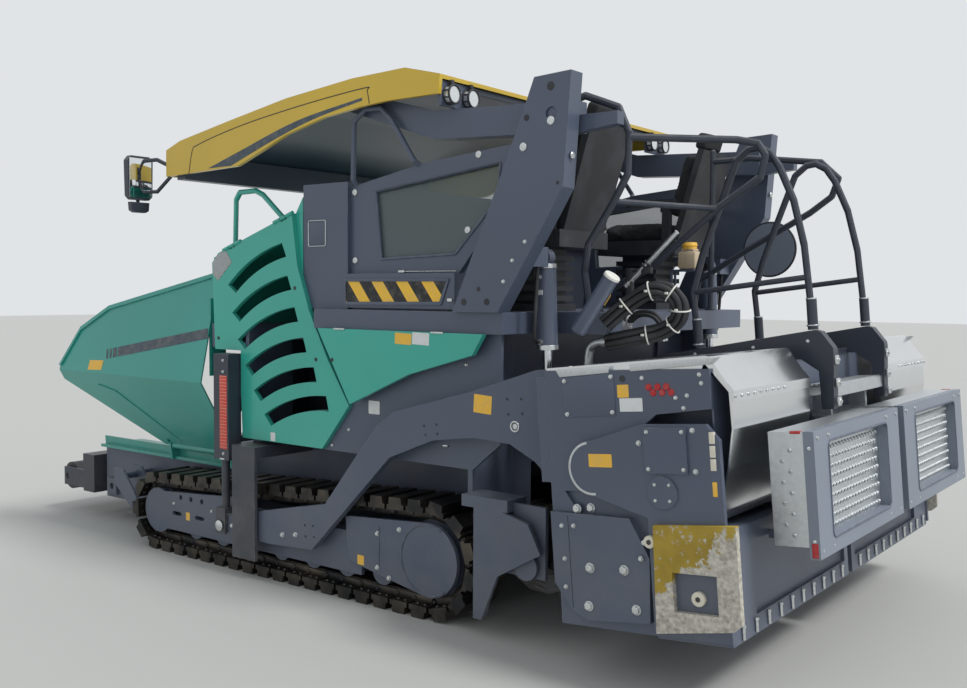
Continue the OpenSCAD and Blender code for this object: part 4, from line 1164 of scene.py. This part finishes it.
def guide_pipe(mesh):
    tube(mesh, [(-2062, 640, 1790), (-2346, 640, 2060)], 13, 12)
    cone(mesh, facing((-2058, 640, 1786), (-284, 0, 270)), 16, 18, 18, 0, 30)


def pipe_clamp(mesh):
    for shift in (-14, 10):
        hoop(mesh, Vector((-2176, 640, 1898)) + PIPE_WAY * shift, PIPE_WAY, 17, 5, 20, 6)
    block(mesh, -2204, -2150, 622, 652, 1852, 1884, 3)
    block(mesh, -2096, -2060, 622, 652, 1640, 1880, 3)
    tube(mesh, [(-2096, 637, 1868), (-2176, 637, 1868)], 9, 8)


make("canister", lambda mesh: turned(mesh, (38, 40, 0, 8), (40, 40, 8, TALL - 22),
                                     (43, 43, TALL - 22, TALL - 16)), anthracite_enamel)
make("canister_cap", lambda mesh: turned(mesh, (42, 42, TALL - 16, TALL - 4),
                                         (42, 38, TALL - 4, TALL)), tie_plastic)
make("canister_label", canister_label, yellow_film)
make("guide_pipe", guide_pipe, galvanised)
make("pipe_clamp", pipe_clamp, black_plastic)

# %% [markdown]
# The free hoses to the screed stand for the bundle of the solids. Each is a real length of hose,
# from its port on the block at the deck's rear edge over a short arch to its own coupling. They
# are drawn as one route, moved aside for each port, so that none can cross another.

# %% free hoses
PORT = Vector((-2054, 610, 1592))
ROUTE = ((0, 0, 0), (-54, 0, 40), (-106, 0, 48), (-156, -5, 36), (-186, -14, -2), (-201, -20, -60))
PORT_SHIFTS = [Vector((0, dy, dz)) for dy, dz in ((-14, 0), (14, 0), (0, 16))]
for n, shift in enumerate(PORT_SHIFTS):
    route = curved([PORT + shift + Vector(point) for point in ROUTE], 5)
    hose = make(f"screed_hose_{n + 1}", lambda mesh: tube(mesh, route, 11), hose_rubber)
    coupling = make(f"coupling_{n + 1}", lambda mesh: cone(
        mesh, facing(route[-1], (-0.1, 0, -1)), 6, 13, 12, -14, 26), zinc_bolt)
    if n == 0:
        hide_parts("hose_bundle")


def port_block(mesh):
    block(mesh, -2054, -2012, 560, 660, 1560, 1638, 4)
    for shift in PORT_SHIFTS:
        cone(mesh, facing(PORT + shift, (-1, 0, 0.6)), 6, 14, 13, 0, 16)


make("port_block", port_block, zinc_bolt)

# %% [markdown]
# ## Small things on the deck
# A header tank of milky plastic with a yellow cap stands at the right side of the entry. Its walls
# could be hollow and let light through, but full and stained they look solid from outside.
# The lift cylinders carry end caps, a label and feed hoses, drawn upright and leaned as they are.

# %% header tank and lift cylinder trim
LEANING = (Matrix.Translation((-1760, 950, 1930))
           @ Matrix.Rotation(atan2(30, 780), 4, "Y"))


def tank(mesh):
    block(mesh, -2206, -2098, 60, 150, 1886, 1984, 14)
    block(mesh, -2190, -2114, 72, 138, 1984, 1998, 5)


def tank_neck(mesh):
    spot = facing((-2150, 105, 1997), UP)
    cone(mesh, spot, 28, 40, 40, 0, 18)
    cone(mesh, spot, 28, 44, 38, 18, 36)


def tank_stand(mesh):
    block(mesh, -2200, -2104, 70, 140, 1872, 1886, 3)
    for y in (80, 126):
        block(mesh, -2060, -2046, y, y + 8, 1650, 1880, 2)
        block(mesh, -2110, -2046, y, y + 8, 1872, 1884, 2)


def lift_ends(mesh):
    cone(mesh, LEANING, 32, 58, 58, -473, -448)
    cone(mesh, LEANING, 32, 58, 58, -56, -34)
    for z in (-100, -430):
        cone(mesh, LEANING @ facing((0, 52, z), LEFT), 6, 15, 14, 0, 20)


def lift_label(mesh):
    slab(mesh, [(-16, 54, -190), (16, 54, -190), (16, 54, -166), (-16, 54, -166)], (0, 2.5, 0))
    mesh.transform(LEANING)


def lift_hoses(mesh):
    for z, reach in ((-100, 0), (-430, 40)):
        path = [LEANING @ Vector(p) for p in ((0, 68, z), (0, 100, z + 6),
                                              (-8, 112 + reach / 4, z + 60))]
        path += [(-1800, 1078, 1900 + reach), (-1764, 1096, 1942 + reach)]
        tube(mesh, curved(path), 10, 10)


make("header_tank", tank, reservoir_plastic)
make("header_tank_cap", tank_neck, yellow_film)
make("header_tank_stand", tank_stand, anthracite_enamel)
make_pair("lift_ends", lift_ends, zinc_bolt, "lift_barrel_*")
make_pair("lift_label", lift_label, white_film, "lift_barrel_*")
make_pair("lift_hoses", lift_hoses, hose_rubber, "lift_barrel_*")

# %% [markdown]
# ## Seats
# Each seat has a cushion, a back and a headrest of foam in black woven cloth. The weave is a wave
# of fine slanted bands with a little fuzz. A tiny bump is enough here, because the yarns are far
# thinner than a pixel.

# %% cover cloth
def cover_cloth():
    material, tree, point = start("black seat cloth")
    warp = add(tree, "TexWave", {"Vector": point, "Scale": 260, "Distortion": 1.2, "Detail": 2},
               "Fac", wave_type="BANDS", bands_direction="DIAGONAL")
    tone = add(tree, "MapRange", (warp, 0.2, 0.8))
    yarn = add(tree, "Mix", {0: tone, 6: linear("#1A1B1D"), 7: linear("#2C2E31")}, 2,
               data_type="RGBA")
    height = add(tree, "Math", (warp, clouds(tree, point, 400, 3)), operation="ADD")
    bump = add(tree, "Bump", {"Strength": 0.25, "Distance": 0.6 * MM, "Height": height})
    close(tree, {"Base Color": yarn, "Roughness": 0.88, "Normal": bump})
    return material


seat_cloth = cover_cloth()
print("finish", seat_cloth.name)

# %% [markdown]
# Foam under a tight cover swells between its seams. It could be sculpted, but blowing it up as
# cloth gives the swell for nothing: an eased block a little smaller than its space is inflated
# with no gravity, so the sides pull in between the corners. Its rest face stays flat on the pan
# or the shell. The sewn channels are pressed in afterwards, because the remesh would wipe them
# out.

# %% blown foam
VOXEL, MOST_SWELL, LAST_FRAME = 0.006, 0.02, 20
# how much smaller than its space the block starts: to the sides, and upwards
SIDE_ROOM, TOP_ROOM = 0.026, 0.016


def evaluated(piece):
    return piece.evaluated_get(bpy.context.evaluated_depsgraph_get())


def foam(name, size):
    # size is x, y, z in metres; the block stands on z = 0
    tall = size[2] - TOP_ROOM
    mesh = bmesh.new()
    bmesh.ops.create_cube(mesh, size=1)
    bmesh.ops.scale(mesh, vec=(size[0] - SIDE_ROOM, size[1] - SIDE_ROOM, tall), verts=mesh.verts)
    bmesh.ops.bevel(mesh, geom=mesh.edges, offset=min(size) * 0.24, affect="EDGES", segments=4,
                    profile=0.5, material=-1)
    bmesh.ops.translate(mesh, vec=(0, 0, tall / 2), verts=mesh.verts)
    data = bpy.data.meshes.new(name)
    mesh.to_mesh(data)
    mesh.free()
    piece = bpy.data.objects.new(name, data)
    bpy.context.collection.objects.link(piece)
    remesh = piece.modifiers.new("remesh", "REMESH")
    remesh.mode, remesh.voxel_size = "VOXEL", VOXEL
    unblown = [vert.co.copy() for vert in evaluated(piece).data.vertices]
    cloth = piece.modifiers.new("cloth", "CLOTH")
    cloth.settings.use_pressure = True
    cloth.settings.uniform_pressure_force = 4
    cloth.settings.effector_weights.gravity = 0
    cloth.settings.quality = 4
    cloth.point_cache.frame_start, cloth.point_cache.frame_end = 1, LAST_FRAME
    for moment in range(1, LAST_FRAME + 1):
        bpy.context.scene.frame_set(moment)
    blown = bpy.data.meshes.new_from_object(evaluated(piece))
    for vert, was in zip(blown.vertices, unblown):
        move = vert.co - was
        if move.length > MOST_SWELL:
            move *= MOST_SWELL / move.length
        vert.co = was + move
        vert.co.z = max(vert.co.z, 0)
    bpy.context.scene.frame_set(1)
    bpy.data.objects.remove(piece)
    return blown


def channels(data, lines, depth=0.006, width=0.006):
    # lines are (axis, place): a groove across the top wherever that coordinate is met
    for vert in data.vertices:
        if vert.co.z > 0.03:
            for axis, at in lines:
                away = (vert.co[axis] - at) / width
                if abs(away) < 3:
                    vert.co.z -= depth * exp(-away * away)


print("each pad swells by", MOST_SWELL, "m at most")

# %% [markdown]
# Both seats are alike, so each pad is blown once, set on its pan or shell, and mirrored as mesh.
# Each stands in its own body, so it turns with its seat.

# %% six pads
PAN = PLACED @ Matrix.Scale(MM, 4)
SHELL = (PAN @ Matrix.Translation((-1745, 640, 2040)) @ Matrix.Rotation(radians(-17), 4, "Y"))
UPRIGHT = Matrix.Rotation(pi / 2, 4, "Y")
PADS = {  # size, place, and the sewn channels
    "seat_pad": ((0.455, 0.396, 0.107), PAN @ Matrix.Translation((-1470, 640, 2081)),
                 [(1, -0.11), (1, 0.11), (0, -0.12), (0, 0.1)]),
    "back_pad": ((0.42, 0.39, 0.096), SHELL @ Matrix.Translation((1, 0, 375)) @ UPRIGHT,
                 [(1, -0.11), (1, 0.11), (0, -0.09), (0, 0.0), (0, 0.09)]),
    "head_pad": ((0.125, 0.272, 0.086), SHELL @ Matrix.Translation((1, 0, 665)) @ UPRIGHT, []),
}
for name, (size, place, lines) in PADS.items():
    data = foam(name, size)
    channels(data, lines)
    data.transform(place @ Matrix.Scale(1 / MM, 4))
    for side in SIDES:
        half = data.copy()
        if side == "right":
            half.transform(ACROSS)
            half.flip_normals()
        half.shade_smooth()
        half.materials.clear()
        half.materials.append(seat_cloth)
        pad = bpy.data.objects.new(f"{name}_{side}", half)
        bpy.context.collection.objects.link(pad)
        finer = pad.modifiers.new("finer", "SUBSURF")
        finer.levels = finer.render_levels = 1
        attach(pad, f"seat_{side}")
        if name == "seat_pad":
            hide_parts(f"cushion_{side}")
        print(pad.name, len(half.vertices), "points", [round(v, 3) for v in pad.dimensions])

# %% [markdown]
# ## Floor and light
# A plain pale floor, a bright even sky and one wide sun stand in for the bright day of the photo.
# A picture of a sky could light the scene, but two plain tones keep it clear which light does
# what. The sun stands high behind the screed, so faces that look back and up are the lightest, and
# the machine's left side lies in sky light. What the camera, a mirror or a pane sees is a little
# brighter than what lights the machine.

# %% floor, sky and sun
floor_mesh = bmesh.new()
bmesh.ops.create_grid(floor_mesh, x_segments=1, y_segments=1, size=60)
floor_data = bpy.data.meshes.new("floor")
floor_mesh.to_mesh(floor_data)
floor_mesh.free()
floor = bpy.data.objects.new("floor", floor_data)
bpy.context.collection.objects.link(floor)
floor_paint, tree, point = start("pale screed floor")
close(tree, {"Base Color": linear("#BDBDB9"), "Roughness": 0.9})
floor_data.materials.append(floor_paint)

SKY_LIGHT, SKY_SEEN, SUN_LIGHT = 0.74, 0.95, 2.0
world = bpy.data.worlds.new("soft sky")
bpy.context.scene.world = world
tree = new_tree(world)
rays = add(tree, "LightPath").node.outputs
seen = rays["Is Camera Ray"]
for kind in ("Is Glossy Ray", "Is Transmission Ray"):
    seen = add(tree, "Math", (seen, rays[kind]), operation="ADD", use_clamp=True)
lighting = add(tree, "Background", {"Color": linear("#E9EDF2"), "Strength": SKY_LIGHT})
looks = add(tree, "Background", {"Color": linear("#E6E9EC"), "Strength": SKY_SEEN})
add(tree, "OutputWorld", {"Surface": add(tree, "MixShader", (seen, lighting, looks))})

sun = bpy.data.objects.new("sun", bpy.data.lights.new("sun", "SUN"))
bpy.context.collection.objects.link(sun)
sun.data.energy = SUN_LIGHT
sun.data.angle = radians(14)
sun.rotation_euler = Vector((0.8, 0.1, -1.0)).to_track_quat("-Z", "Y").to_euler()
bpy.context.scene.view_settings.view_transform = "Standard"
print("sun", SUN_LIGHT, "sky", SKY_LIGHT, "as light and", SKY_SEEN, "as seen")

# %% [markdown]
# ## Counts
# The pieces made by this file are counted at the end, with their faces and their open edges.

# %% counts and the last line
print("made by this file:", made)
